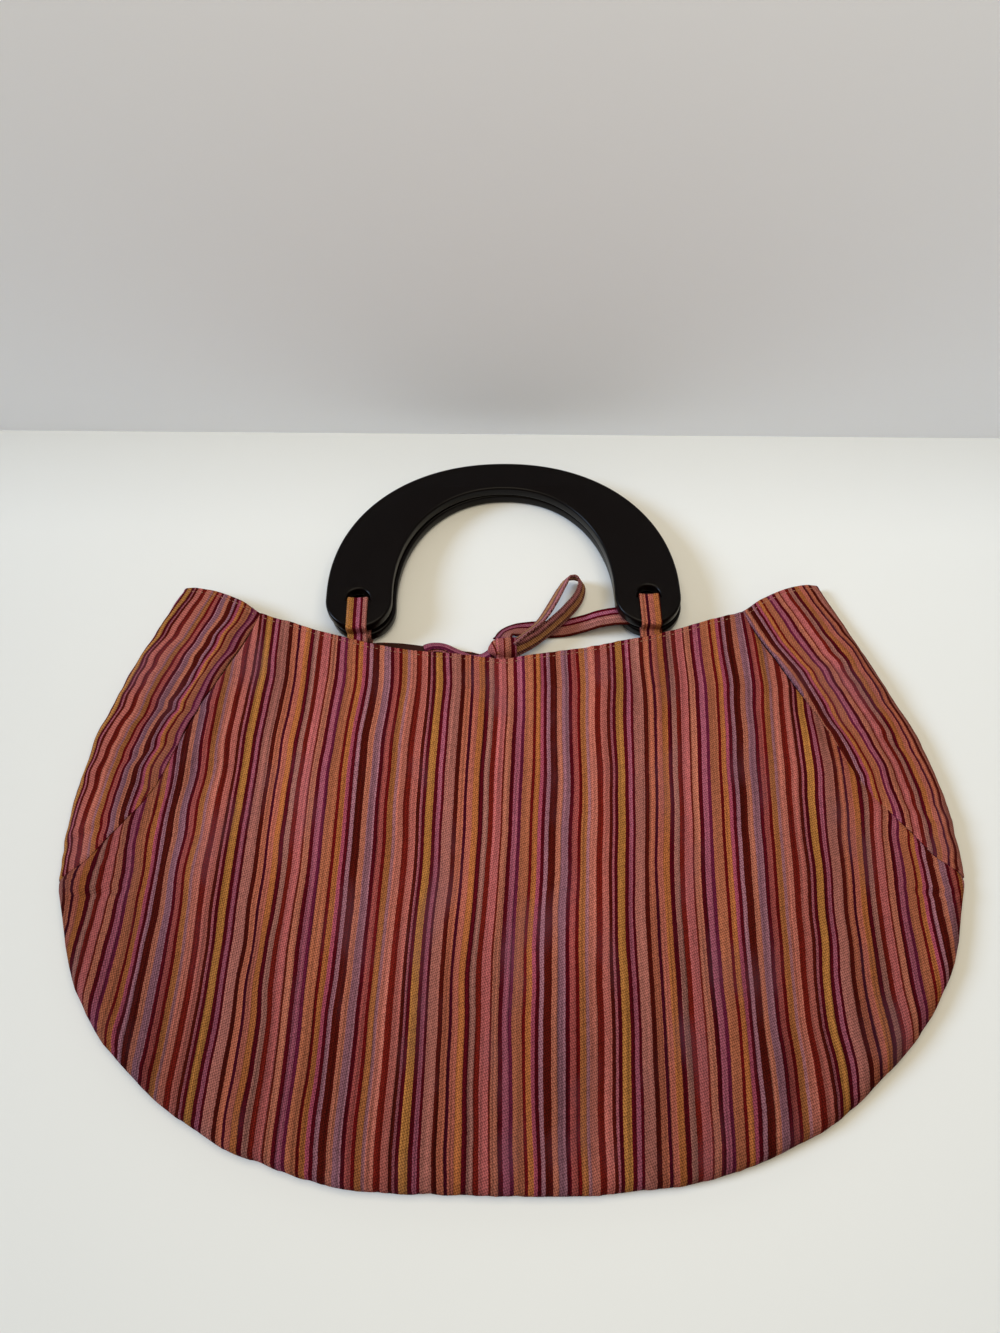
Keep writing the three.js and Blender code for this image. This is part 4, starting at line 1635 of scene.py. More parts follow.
    def hem_dip(self, distance: Array, run: Array) -> Array:
        """Stitched line and small gathers below a hem.

        Args:
            distance: distance from the hem.
            run: distance along it.

        Returns:
            Distances outwards.
        """
        depth, width = self.hem_groove
        gathers = waves(self.hem_gathers, run) * hill(distance, 5.0)
        return gathers - depth * hill(distance - self.stitch_in, width)

    def main_panel(self, side: Side) -> Piece:
        """Front or back panel, from the hem and the seams to the bottom.

        Args:
            side: front or back.

        Returns:
            The panel.
        """
        shape = self.shape
        stations = np.linspace(0.0, 1.0, self.seam_columns + 1) ** 0.85
        outer = shape.seam_point(0.995 * stations)[0]
        hem = np.linspace(-shape.apex_half_width, shape.apex_half_width, self.hem_columns + 1)[1:-1]
        places = np.concatenate([-outer[::-1], hem, outer])
        steps = np.linspace(0.0, 1.0, self.panel_rows + 1)
        down = mix(steps, (1.0 - np.cos(np.pi * steps)) / 2.0, 0.82)[:, None]
        x = np.broadcast_to(places, (len(steps), len(places))).astype(float)
        top, low = shape.panel_top(places, side), shape.bottom_y(places)
        on_hem = smooth((shape.apex_half_width - np.abs(places)) / 6.0)
        top = top + on_hem * waves(self.hem_scallops, places)
        y = mix(top, low, down)
        points, normals = shape.skin(x, y, side)
        tilt = np.gradient(top, places)
        from_top = (top - y) / np.hypot(1.0, tilt)
        sewn_dip = self.seam_dip(from_top, shape.seam_down(x) * self.seam_length)
        dips = np.where(np.abs(x) > shape.apex_half_width, sewn_dip, self.hem_dip(from_top, x))
        offset = self.relief(x, y, side) + (dips if side is Side.FRONT else dips * 0.4)
        if side is Side.BACK:
            # The back panel lies on the table: its waves only go inwards
            offset = np.minimum(np.minimum(offset, points[..., 2] - 0.02), 0.0)
        points = points + normals * offset[..., None]
        points = self.wavered(points, x, y, float(side is Side.FRONT))
        points[..., 2] += side.value * 0.08 * (1.0 - smooth(shape.in_from_edge(x, y) / 8.0))
        flat = np.stack([panel_stripes(points) + stripe_slack(x, y), points[..., 1]], axis=-1)
        hemmed = np.abs(places) < shape.apex_half_width - 0.5
        bulge = np.where(hemmed, self.hem_round, self.seam_round)
        mesh = wall_mesh(points, normals, flat, shape.wall, bulge, np.full(len(places), self.seam_round))
        node = f"{side.label}_panel"
        piece = finish_piece(mesh.to_object(f"{node}_cloth"), self.finishes.cloth, (node,))
        trims = []
        if side is Side.FRONT:
            on_hem = np.flatnonzero(np.abs(places) < shape.apex_half_width - 1.0)
            trims = [self.hem_stitches("front_hem_stitches", points, normals, from_top, on_hem)]
        return piece

    def wavered(
        self, points: Array, x: Array, y: Array, sagging: Array | float
    ) -> Array:
        """Moves points by the outline's waver.

        Args:
            points: points of a surface.
            x: their places across, without the lean.
            y: their places along.
            sagging: share of the mouth's sag that the points take.

        Returns:
            The moved points.
        """
        inward_x, inward_y = slope_of(self.shape.in_from_edge, x, np.minimum(y, self.shape.corner_y - 1.0))
        waver = self.edge_waver(x, y)
        moved = points.copy()
        moved[..., 0] += inward_x * waver
        moved[..., 1] += inward_y * waver
        return self.settled(moved, sagging)

    def hem_stitches(
        self, name: str, points: Array, normals: Array, from_hem: Array,
        columns: Array, seed: int = 1,
    ) -> Piece:
        """Stitches along a hem.

        Args:
            name: name of the piece.
            points: outside of the panel.
            normals: its outward directions.
            from_hem: distance of each point from the hem.
            columns: numbers of the panel's columns that end on the hem.
            seed: number of the row, which varies its stitches.

        Returns:
            The stitches.
        """
        line, faces = [], []
        for column in columns:
            depth = from_hem[:, column]
            line.append(read_along(self.stitch_in, depth, points[:, column]))
            faces.append(read_along(self.stitch_in, depth, normals[:, column]))
        mesh = stitch_mesh(np.array(line), unit(np.array(faces)), HEM_STITCH, seed)
        return finish_piece(mesh.to_object(name), self.finishes.thread)

    def side_panel(self, hand: Hand) -> Piece:
        """Side panel, from the front seam round the side fold to the back seam.

        Args:
            hand: left or right.

        Returns:
            The panel.
        """
        shape = self.shape
        downs = 0.994 * (1.0 - (1.0 - np.linspace(0.0, 1.0, self.side_rows + 1)) ** 1.4)
        steps = np.linspace(-1.0, 1.0, 2 * self.side_columns + 1)
        inward = np.abs(steps) ** 1.35
        seam_x, seam_y = shape.seam_point(downs)
        run_x = np.gradient(seam_x, downs)
        run_y = np.gradient(seam_y, downs)
        length = np.hypot(run_x, run_y)
        seam_x = seam_x - self.seam_gap * run_y / length
        seam_y = seam_y + self.seam_gap * run_x / length
        fold_y = mix(shape.corner_y, shape.side_point_y, downs)
        fold_x = shape.fold_x(fold_y)
        flat_x = mix(fold_x[:, None], seam_x[:, None], inward)
        apex_y = shape.hem_y(np.array(shape.apex_half_width))
        bow = shape.hem_y(flat_x) - mix(shape.corner_y, apex_y, inward)
        y = mix(fold_y[:, None], seam_y[:, None], inward) + (1.0 - downs[:, None]) ** 6 * bow
        x = hand.value * flat_x
        front = shape.skin(x, y, Side.FRONT)
        back = shape.skin(x, y, Side.BACK)
        on_front = (steps < 0.0)[None, :, None]
        points = np.where(on_front, front[0], back[0])
        normals = np.where(on_front, front[1], back[1])
        across = np.linalg.norm(np.diff(points, axis=1), axis=2)
        reach = np.concatenate([np.zeros((len(downs), 1)), np.cumsum(across, axis=1)], axis=1)
        from_seam = np.minimum(reach, reach[:, -1:] - reach)
        from_hem = np.abs(y[:1] - y)
        run = np.broadcast_to(downs[:, None] * self.seam_length, x.shape)
        offset = self.relief(x, y, Side.FRONT) * smooth(from_seam / 6.0) + self.seam_dip(from_seam, run)
        offset = offset + self.hem_dip(from_hem, flat_x)
        offset = np.where(steps[None, :] < 0.0, offset, np.minimum(offset * 0.3, 0.0))
        points = points + normals * offset[..., None]
        points = self.wavered(points, x, y, np.where(steps < 0.0, 1.0, 0.0)[None, :])
        middle = reach[:, self.side_columns][:, None]
        phase = self.left_phase if hand is Hand.LEFT else self.right_phase
        kinks = waves(self.side_kinks, x, y) + 1.7 * hill(y - 88.0, 6.0) * (hand is Hand.LEFT)
        flat = np.stack([hand.value * self.side_easing * (middle - reach) + phase + kinks, y], axis=-1)
        ends = np.ones(points.shape[1])
        mesh = wall_mesh(
            points, normals, flat, shape.wall, ends * self.hem_round, ends * self.side_seam_round
        )
        node = f"side_panel_{hand.label}"
        piece = finish_piece(mesh.to_object(f"{node}_cloth"), self.finishes.cloth, (node,))
        stitches = self.hem_stitches(
            f"side_hem_stitches_{hand.label}", points, np.broadcast_to(normals[4], normals.shape), from_hem,
            np.arange(2, self.side_columns - 6), 2,
        )
        return piece

    def lining(self, side: Side) -> Piece:
        """Half of the lining pouch.

        Args:
            side: front or back half.

        Returns:
            The lining.
        """
        shape = self.shape
        pouch = self.pouch
        inset, corner_turn, side_share = pouch.inset, pouch.corner_turn, pouch.side_share
        drop = pouch.front_drop if side is Side.FRONT else pouch.back_drop
        sink = shape.wall + (pouch.front_gap if side is Side.FRONT else pouch.back_gap)
        downs = np.sin(np.linspace(0.0, 1.0, pouch.rows + 1) * np.pi / 2.0)[:, None]
        across = np.sin((np.linspace(0.0, 1.0, pouch.columns + 1) - 0.5) * np.pi)[None, :]
        corner = shape.bottom_point(np.array(corner_turn), inset)
        rim_corner_y = shape.corner_y - drop
        rim_corner_x = shape.fold_x(np.array(rim_corner_y)) - inset
        rim_y = shape.hem_y(across * shape.corner_half_width, side) - drop
        low_x, low_y = shape.bottom_point(mix(90.0, corner_turn, np.abs(across)), inset)
        fallen = downs / side_share
        upper_y = mix(rim_corner_y, shape.side_point_y, np.minimum(fallen, 1.0))
        turned = np.clip((downs - side_share) / (1.0 - side_share), 0.0, 1.0) * corner_turn
        curve_x, curve_y = shape.bottom_point(turned, inset)
        side_x = np.where(fallen < 1.0, shape.fold_x(upper_y) - inset, curve_x)
        side_y = np.where(fallen < 1.0, upper_y, curve_y)
        x = mix(across * rim_corner_x, np.sign(across) * low_x, downs)
        x = x + across * (side_x - mix(rim_corner_x, corner[0], downs))
        edge_rim = shape.hem_y(np.array(shape.corner_half_width)) - drop
        y = mix(rim_y, low_y, downs) + np.abs(across) ** 3 * (side_y - mix(edge_rim, corner[1], downs))
        points, normals = shape.skin(x, y, side, inset, sink)
        points[..., 2] += side.value * 0.15 * (1.0 - smooth((shape.in_from_edge(x, y) - inset) / 8.0))
        inner = smooth((shape.in_from_edge(x, y) - inset) / 20.0)
        crumple = -pouch.crumple * (1.0 + value_noise(x, y, (16.0, 24.0), 41)) * inner
        points = points + normals * (crumple * (1.0 if side is Side.FRONT else 0.4))[..., None]
        points = self.settled(points, float(side is Side.FRONT))
        ends = np.full(points.shape[1], pouch.round_edge)
        mesh = wall_mesh(points, normals, points[..., :2].copy(), pouch.wall, ends, ends * 0.2)
        node = f"lining_{side.label}"
        piece = finish_piece(mesh.to_object(f"{node}_cloth"), self.finishes.lining, (node,))
        return piece


# Wooden handles


@dataclass(frozen=True)
class HandleShape:
    """Sizes of one flat handle and where both lie, in mm."""

    half_width: float = 96.0
    grip_half_width: float = 60.3
    crown: float = 89.8
    grip_crown: float = 70.7
    curve_power: float = 2.12
    foot_above_hem: float = 3.3
    foot_shank: float = 3.85
    thickness: float = 6.5
    edge: float = 1.35
    turn: float = math.radians(1.1)
    slot_width: float = 12.4
    slot_shoulder: float = 1.0
    back_shift: float = 1.4
    crown_spans: int = 150
    grip_spans: int = 130
    foot_spans: int = 40
    slot_spans: int = 24

    @property
    def foot_radius(self) -> float:
        """Radius of the round feet."""
        return (self.half_width - self.grip_half_width) / 2.0

    @property
    def foot_x(self) -> float:
        """Distance of the feet from the middle."""
        return (self.half_width + self.grip_half_width) / 2.0

    @property
    def foot_bottom(self) -> float:
        """Lowest y of the feet."""
        return float(BAG.hem_y(np.array(self.foot_x))) + self.foot_above_hem

    @property
    def waist(self) -> float:
        """y where the arch starts."""
        return self.foot_bottom + self.foot_radius + self.foot_shank

    @property
    def slot_out(self) -> float:
        """Distance of the slots from the middle."""
        return self.foot_x + 0.02 * self.foot_radius

    @property
    def slot_floor(self) -> float:
        """y of the flat side of the slots."""
        return self.foot_bottom + 0.947 * self.foot_radius

    def arch(self, half_width: float, crown: float, steps: int) -> Outline:
        """Rounded arch from the right end to the left.

        Args:
            half_width: half its width.
            crown: its height over the waist.
            steps: number of spans.

        Returns:
            Its points.
        """
        points = []
        for step in range(steps + 1):
            turn = math.pi * step / steps
            across = math.copysign(abs(math.cos(turn)) ** (2.0 / self.curve_power), math.cos(turn))
            up = max(0.0, math.sin(turn)) ** (2.0 / self.curve_power)
            points.append((half_width * across, self.waist + crown * up))
        return points

    def foot(self, x: float) -> Outline:
        """Round lower end of a leg, from left to right.

        Args:
            x: middle of the foot.

        Returns:
            Its points.
        """
        middle = self.foot_bottom + self.foot_radius
        turns = np.linspace(math.pi, 2.0 * math.pi, self.foot_spans + 1)
        return [(x + self.foot_radius * math.cos(t), middle + self.foot_radius * math.sin(t)) for t in turns]

    def slot(self, hand: Hand) -> Outline:
        """Arched slot in a foot.

        Args:
            hand: left or right foot.

        Returns:
            Its points.
        """
        half, x = self.slot_width / 2.0, hand.value * self.slot_out
        base = self.slot_floor + self.slot_shoulder
        turns = np.linspace(0.0, math.pi, self.slot_spans + 1)
        arch = [(x + half * math.cos(t), base + half * math.sin(t)) for t in turns]
        return arch + [(x - half, self.slot_floor), (x + half, self.slot_floor)]

    def outline(self) -> Outline:
        """Whole outer outline.

        Returns:
            Its points.
        """
        outer = self.arch(self.half_width, self.crown, self.crown_spans)
        inner = self.arch(self.grip_half_width, self.grip_crown, self.grip_spans)[::-1]
        return outer + self.foot(-self.foot_x) + inner + self.foot(self.foot_x)


@dataclass(frozen=True)
class HandleLay:
    """How one handle lies on the table."""

    lift: float
    pitch: float
    shift: float

    def matrix(self, shape: HandleShape) -> Matrix:
        """Placement of the handle's plan, in metres.

        Args:
            shape: the handle.

        Returns:
            The matrix.
        """
        to_foot = Matrix.Translation(Vector((shape.foot_x, -shape.foot_bottom, 0.0)) * MM)
        turned = Matrix.Rotation(shape.turn, 4, "Z") @ Matrix.Rotation(self.pitch, 4, "X")
        place = Matrix.Translation(Vector((self.shift - shape.foot_x, shape.foot_bottom, self.lift)) * MM)
        return place @ turned @ to_foot


HANDLE = HandleShape()
RIBBON_WIDTH = 11.0
RIBBON_THICKNESS = 1.1
# How far a ribbon's middle stands up from its edges
RIBBON_CAMBER = 0.35
# Radius of the bend of a ribbon that is folded double
RIBBON_BEND = 0.85 * RIBBON_THICKNESS
# Welt beside a ribbon's edge: height, distance from the edge, width
RIBBON_WELT = (0.16, 1.2, 0.7)
RIBBON_WAVES: Waves = ((0.12, 5, 4, 61),)
LOOP_CLEARANCE = 0.4
SEAM_CLEARANCE = 0.3
UNDER_STRAPS = RIBBON_THICKNESS + LOOP_CLEARANCE
BACK_FOOT_LIFT = BAG.wall + SEAM_CLEARANCE + UNDER_STRAPS
FRONT_FOOT_LIFT = BACK_FOOT_LIFT + HANDLE.thickness + 2.0 * UNDER_STRAPS + 0.6
HANDLE_REACH = HANDLE.waist + HANDLE.crown - HANDLE.foot_bottom
BACK_LAY = HandleLay(BACK_FOOT_LIFT, math.atan(-BACK_FOOT_LIFT / HANDLE_REACH), HANDLE.back_shift)
FRONT_LAY = HandleLay(
    FRONT_FOOT_LIFT, math.atan((HANDLE.thickness + 0.5 - FRONT_FOOT_LIFT) / HANDLE_REACH), 0.0
)


@dataclass
class WoodenHandle:
    """One flat wooden handle."""

    side: Side
    shape: HandleShape
    lay: HandleLay
    finishes: Finishes

    def build(self) -> Piece:
        """Cuts the plate with its slots and rounds its edges.

        Returns:
            The handle.
        """
        node = f"handle_{self.side.label}"
        curve = bpy.data.curves.new(f"{node}_wood", "CURVE")
        curve.dimensions = "2D"
        curve.fill_mode = "BOTH"
        for outline in (self.shape.outline(), self.shape.slot(Hand.LEFT), self.shape.slot(Hand.RIGHT)):
            spline = curve.splines.new("POLY")
            spline.points.add(len(outline) - 1)
            for point, (x, y) in zip(spline.points, outline):
                point.co = (x * MM, y * MM, 0.0, 1.0)
            spline.use_cyclic_u = True
        curve.bevel_depth = self.shape.edge * MM
        curve.bevel_resolution = 4
        curve.offset = -self.shape.edge * MM
        curve.extrude = (self.shape.thickness / 2.0 - self.shape.edge) * MM
        piece = bpy.data.objects.new(f"{node}_wood", curve)
        bpy.context.scene.collection.objects.link(piece)
        select_only(piece)
        bpy.ops.object.convert(target="MESH")
        piece = bpy.context.view_layer.objects.active
        weld()
        rise = Matrix.Translation((0.0, 0.0, self.shape.thickness / 2.0 * MM))
        piece.data.transform(self.lay.matrix(self.shape) @ rise)
        bpy.ops.object.shade_smooth_by_angle(angle=math.radians(32.0))
        return finish_piece(piece, self.finishes.wood, (node,))


# Ribbons


@dataclass(frozen=True)
class RibbonRun:
    """Centre line of a ribbon with its width and face directions, in mm."""

    centres: Array
    across: Array
    face: Array

    def length(self) -> float:
        """Length along the centre line.

        Returns:
            The length in mm.
        """
        return float(arc_length(self.centres)[-1])


def centripetal_path(points: Array, samples: int) -> Pair:
    """Smooth curve through points.

    Args:
        points: the points.
        samples: number of spans of the result.

    Returns:
        Points on the curve and the tangent at each.
    """
    first = 2.0 * points[0] - points[1]
    last = 2.0 * points[-1] - points[-2]
    knots = np.concatenate([[first], points, [last]])
    spans = len(points) - 1
    places, tangents = [], []
    for step in range(samples + 1):
        at = step / samples * spans
        row = min(int(at), spans - 1)
        s = at - row
        p0, p1, p2, p3 = knots[row : row + 4]
        gap0 = max(np.linalg.norm(p1 - p0) ** 0.5, 1e-4)
        gap1 = max(np.linalg.norm(p2 - p1) ** 0.5, 1e-4)
        gap2 = max(np.linalg.norm(p3 - p2) ** 0.5, 1e-4)
        t1 = ((p1 - p0) / gap0 - (p2 - p0) / (gap0 + gap1) + (p2 - p1) / gap1) * gap1
        t2 = ((p2 - p1) / gap1 - (p3 - p1) / (gap1 + gap2) + (p3 - p2) / gap2) * gap1
        c2 = -3.0 * p1 + 3.0 * p2 - 2.0 * t1 - t2
        c3 = 2.0 * p1 - 2.0 * p2 + t1 + t2
        places.append(p1 + t1 * s + c2 * s * s + c3 * s**3)
        tangents.append(t1 + 2.0 * c2 * s + 3.0 * c3 * s * s)
    return np.array(places), unit(np.array(tangents))


def ribbon_section(share: float, folded: bool) -> tuple[float, float, float, float]:
    """Middle of a ribbon's thickness at a place across it, and the direction of its face there.

    Args:
        share: place across, from -1 to 1.
        folded: whether it is folded double along its middle.

    Returns:
        Out and up of the place, then out and up of the direction.
    """
    out = share * RIBBON_WIDTH / 2.0
    if not folded:
        return out, RIBBON_CAMBER * (0.5 - share * share), 0.0, 1.0
    bend = RIBBON_BEND
    quarter = bend * math.pi / 2.0
    if abs(out) < quarter:
        turn = out / bend
        return bend * math.cos(turn), bend * math.sin(turn), math.cos(turn), math.sin(turn)
    level = math.copysign(1.0, out)
    return quarter - abs(out), bend * level, 0.0, level


def ribbon_mesh(run: RibbonRun, phase: float, folded: bool = False) -> MeshParts:
    """Folded and stitched ribbon along a run.

    Args:
        run: where it lies.
        phase: place of its middle across the stripe repeat.
        folded: whether it is folded double along its middle.

    Returns:
        The closed mesh.
    """
    half, thick = RIBBON_WIDTH / 2.0, RIBBON_THICKNESS / 2.0
    spread = np.linspace(-1.0, 1.0, 31) if folded else np.sin(np.linspace(-1.0, 1.0, 15) * math.pi / 2.0)
    upper = [(share, 1.0) for share in spread[1:-1]]
    lower = [(share, -1.0) for share in spread[-2:0:-1]]
    section = []
    for share, level in upper + [(1.0, 0.0)] + lower + [(-1.0, 0.0)]:
        edge = (1.0 - abs(share)) * half
        full = math.sqrt(max(0.0, 1.0 - (1.0 - min(1.0, edge / (thick * 1.1))) ** 2))
        welt = 1.0 + RIBBON_WELT[0] * float(hill(edge - RIBBON_WELT[1], RIBBON_WELT[2]))
        out, up, face_out, face_up = ribbon_section(float(share), folded)
        lift = level * thick * full * welt
        section.append((out + face_out * lift, up + face_up * lift, float(share) * half))
    outs, ups, places = (np.array(values) for values in zip(*section))
    distance, out_places = np.meshgrid(arc_length(run.centres), outs, indexing="ij")
    lift = ups + waves(RIBBON_WAVES, distance, out_places)
    aside = run.across[:, None] * outs[:, None]
    corners = run.centres[:, None] + aside + run.face[:, None] * lift[..., None]
    flats = np.stack([np.broadcast_to(places + phase, distance.shape), distance], axis=-1)
    faces = capped_faces(len(run.centres), len(section))
    return MeshParts(corners.reshape(-1, 3), faces, flats.reshape(-1, 2))


def edge_stitches(run: RibbonRun, out: float) -> MeshParts:
    """Stitches along one edge of a ribbon, on both its faces.

    Args:
        run: where the ribbon lies.
        out: distance of the stitches from the middle line.

    Returns:
        The stitches.
    """
    side = out / (RIBBON_WIDTH / 2.0)
    lift = RIBBON_THICKNESS / 2.0 + RIBBON_CAMBER * (0.5 - side * side)
    line = run.centres + run.across * out + run.face * lift
    under = line - run.face * (RIBBON_THICKNESS + 0.02)
    mesh = stitch_mesh(line, run.face, RIBBON_STITCH, 3)
    return mesh.joined(stitch_mesh(under, -run.face, RIBBON_STITCH, 4))


@dataclass(frozen=True)
class RibbonPiece:
    """One ribbon that is to be built."""

    node: str
    phase: float
    stitched_at: tuple[float, ...]
    rests_on: tuple[str, ...]
    held: str = "laid"
    folded: bool = False
    worn: bool = False


def build_ribbon(piece: RibbonPiece, run: RibbonRun, finishes: Finishes) -> Piece:
    """Builds a ribbon with its stitches.

    Args:
        piece: what it is.
        run: where it lies.
        finishes: the materials.

    Returns:
        The ribbon.
    """
    ribbon = finish_piece(
        ribbon_mesh(run, piece.phase, piece.folded).to_object(f"{piece.node}_cloth", 60.0),
        finishes.worn_ribbon if piece.worn else finishes.ribbon, (piece.node,),
    )
    for number, out in enumerate(piece.stitched_at):
        stitches = edge_stitches(run, out).to_object(f"{piece.node}_cloth_stitches_{number + 1}")
        finish_piece(stitches, finishes.thread)
    max(run.length() * MM, 0.01)
    return ribbon


@dataclass
class HandleLoop:
    """Cloth loop that holds one foot of a handle."""

    hand: Hand
    side: Side
    lay: HandleLay
    finishes: Finishes
    tail_tuck: float = 7.4
    corner_stand_off: float = 0.68
    stitched_at: float = -4.4
    left_phase: float = 40.0
    right_phase: float = 55.5

    def laid(self, y: float, height: float) -> Array:
        """Point of the handle's plan, where the handle lies.

        Args:
            y: place along the handle at the slot's middle.
            height: height over its underside.

        Returns:
            The point in mm.
        """
        plan = Vector((self.hand.value * HANDLE.slot_out, y, height)) * MM
        return np.array(self.lay.matrix(HANDLE) @ plan) / MM

    def tails(self, x: float) -> tuple[float, float]:
        """Heights of the two tails inside the hem.

        Args:
            x: where the loop enters the hem; not used.

        Returns:
            Height of the lower and of the upper tail.
        """
        if self.side is Side.BACK:
            low = BAG.wall + SEAM_CLEARANCE + RIBBON_THICKNESS / 2.0
            return low, low + UNDER_STRAPS
        rise = along_profile(BAG.hem_height, np.array(HANDLE.slot_out / BAG.corner_half_width))
        high = BAG.seam_height + float(rise) - BAG.wall - 1.15 - RIBBON_THICKNESS / 2.0
        return high - UNDER_STRAPS, high

    def run(self) -> RibbonRun:
        """Way of the loop: out of the hem, under the foot, up through the slot, over it and back.

        Returns:
            The run.
        """
        off = LOOP_CLEARANCE + RIBBON_THICKNESS / 2.0
        thick, floor, foot = HANDLE.thickness, HANDLE.slot_floor, HANDLE.foot_bottom
        entry = self.laid(foot, 0.0)
        hem_at = float(BAG.hem_y(np.array(entry[0] - float(BAG.lean_x(np.array(foot)))), self.side))
        low, high = self.tails(entry[0])
        tuck_y = hem_at - self.tail_tuck
        under = self.laid(foot + 3.0, -off)
        corner = off * self.corner_stand_off
        lip = self.laid(foot - off, 0.0)
        centres = [
            np.array([entry[0], tuck_y, low]),
            np.array([entry[0], (tuck_y + under[1]) / 2.0, low]),
            under,
            self.laid(floor - 3.0, -off),
            self.laid(floor + corner, -corner),
            self.laid(floor + off, 0.9),
            self.laid(floor + off, thick - 0.9),
            self.laid(floor + corner, thick + corner),
            self.laid(floor - 3.0, thick + off),
            self.laid(foot + 3.0, thick + off),
            self.laid(foot - corner, thick + corner),
            self.laid(foot - off, thick - 1.6),
            np.array([lip[0], lip[1], high + 1.2]),
            np.array([entry[0], hem_at + 0.2, high]),
            np.array([entry[0], tuck_y, high]),
        ]
        fine, tangents = centripetal_path(np.array(centres), 84)
        hem = [float(BAG.hem_y(np.array(entry[0] + step), self.side)) for step in (-1.0, 1.0)]
        skewed = unit(np.array([2.0, hem[1] - hem[0], 0.0]))
        turned = np.array([math.cos(HANDLE.turn), math.sin(HANDLE.turn), 0.0])
        rows = np.linspace(0.0, len(centres) - 1.0, len(fine))
        tucked = smooth((2.0 - rows) / 1.0) + smooth((rows - (len(centres) - 3.5)) / 1.0)
        across = unit(mix(turned[None, :], skewed[None, :], np.clip(tucked, 0.0, 1.0)[:, None]))
        return RibbonRun(fine, across, unit(np.cross(across, tangents)))

    def build(self) -> Piece:
        """Builds the loop.

        Returns:
            The loop.
        """
        node = f"handle_loop_{self.side.label}_{self.hand.label}"
        phase = self.left_phase if self.hand is Hand.LEFT else self.right_phase
        rests = (f"handle_{self.side.label}_wood",)
        piece = RibbonPiece(node, phase, (self.stitched_at,), rests, "folded")
        return build_ribbon(piece, self.run(), self.finishes)


# Tie at the mouth

# Runs of the tie's ribbons: x, y beyond the lowest point of the hem, height and roll in degrees
TieRun = tuple[tuple[float, float, float, float], ...]

TAB_RUN: TieRun = (
    (1.3, -6.5, 10.0, 0), (1.3, -1.2, 10.1, 0), (1.3, 1.4, 11.3, 0), (1.3, 2.0, 13.4, 0),
    (1.3, 2.9, 15.8, 0), (1.2, 5.0, 17.6, 0), (1.0, 7.4, 17.9, 0), (0.8, 9.6, 16.8, 0),
)
BACK_TAB_RUN: TieRun = (
    (-3, -4, 2.3, 0), (-3, 1, 2.3, 0), (-3, 5.6, 3.1, 0), (-3, 7.4, 5.8, 0), (-3, 7.6, 8.4, 0),
)
BOW_RUN: TieRun = (
    (3.6, 7.4, 15.0, 56), (11, 13.4, 14.6, 62), (19.6, 22.4, 13, 58), (26.2, 34.2, 11.2, 58),
    (31.8, 45.6, 9.8, 62), (35.4, 51.6, 9, 70), (40.2, 52.2, 8.8, 72), (43.0, 48.4, 8.6, 68),
    (41.4, 40.4, 8.8, 68), (34.8, 30.8, 9.6, 68), (26.6, 21.6, 11, 69), (18.6, 13.8, 12, 70),
    (10.8, 8.4, 12.4, 66), (4.4, 5.6, 12.4, 54),
)
LONG_TAIL_RUN: TieRun = (
    (-1, 12.4, 12.2, 26), (1.4, 17.4, 8.2, 30), (7, 21.2, 4.8, 22), (15, 22.8, 2.6, 8), (25, 23.6, 1.6, 2),
    (34, 24.4, 1.8, 2), (43, 25.4, 4.6, 4), (52, 26.4, 8.6, 3), (60, 27, 10.5, 1), (68, 27.4, 10.6, 1),
)
SHORT_TAIL_RUN: TieRun = (
    (-7.6, 5.0, 10.2, -10), (-11.5, 3.4, 8.4, -16), (-17, 3.6, 6.4, -22), (-25, 7.6, 5.0, -24),
    (-33, 11.6, 4.2, -24), (-39.5, 12.2, 3.6, -20), (-43.5, 11.0, 3.2, -16),
)
# A run that climbs more steeply than this keeps the direction of its width
STEEPEST_RUN = 0.4


def tie_run(rows: TieRun, samples: int) -> RibbonRun:
    """Run of a free ribbon from its table.

    Args:
        rows: the table.
        samples: number of spans of the result.

    Returns:
        The run.
    """
    points = np.array([(x, BAG.hem_dip_y + beyond, height) for x, beyond, height, _ in rows])
    asked = np.linspace(0.0, len(rows) - 1.0, samples + 1)
    rolls = np.interp(asked, np.arange(len(rows)), [math.radians(row[3]) for row in rows])
    centres, tangents = centripetal_path(points, samples)
    across = []
    level = np.array([1.0, 0.0, 0.0])
    for tangent, roll in zip(tangents, rolls):
        if math.hypot(tangent[0], tangent[1]) > STEEPEST_RUN:
            level = unit(np.array([tangent[1], -tangent[0], 0.0]))
        up = unit(np.cross(level, tangent))
        across.append(level * math.cos(roll) + up * math.sin(roll))
    width = np.array(across)
    return RibbonRun(centres, width, unit(np.cross(width, tangents)))


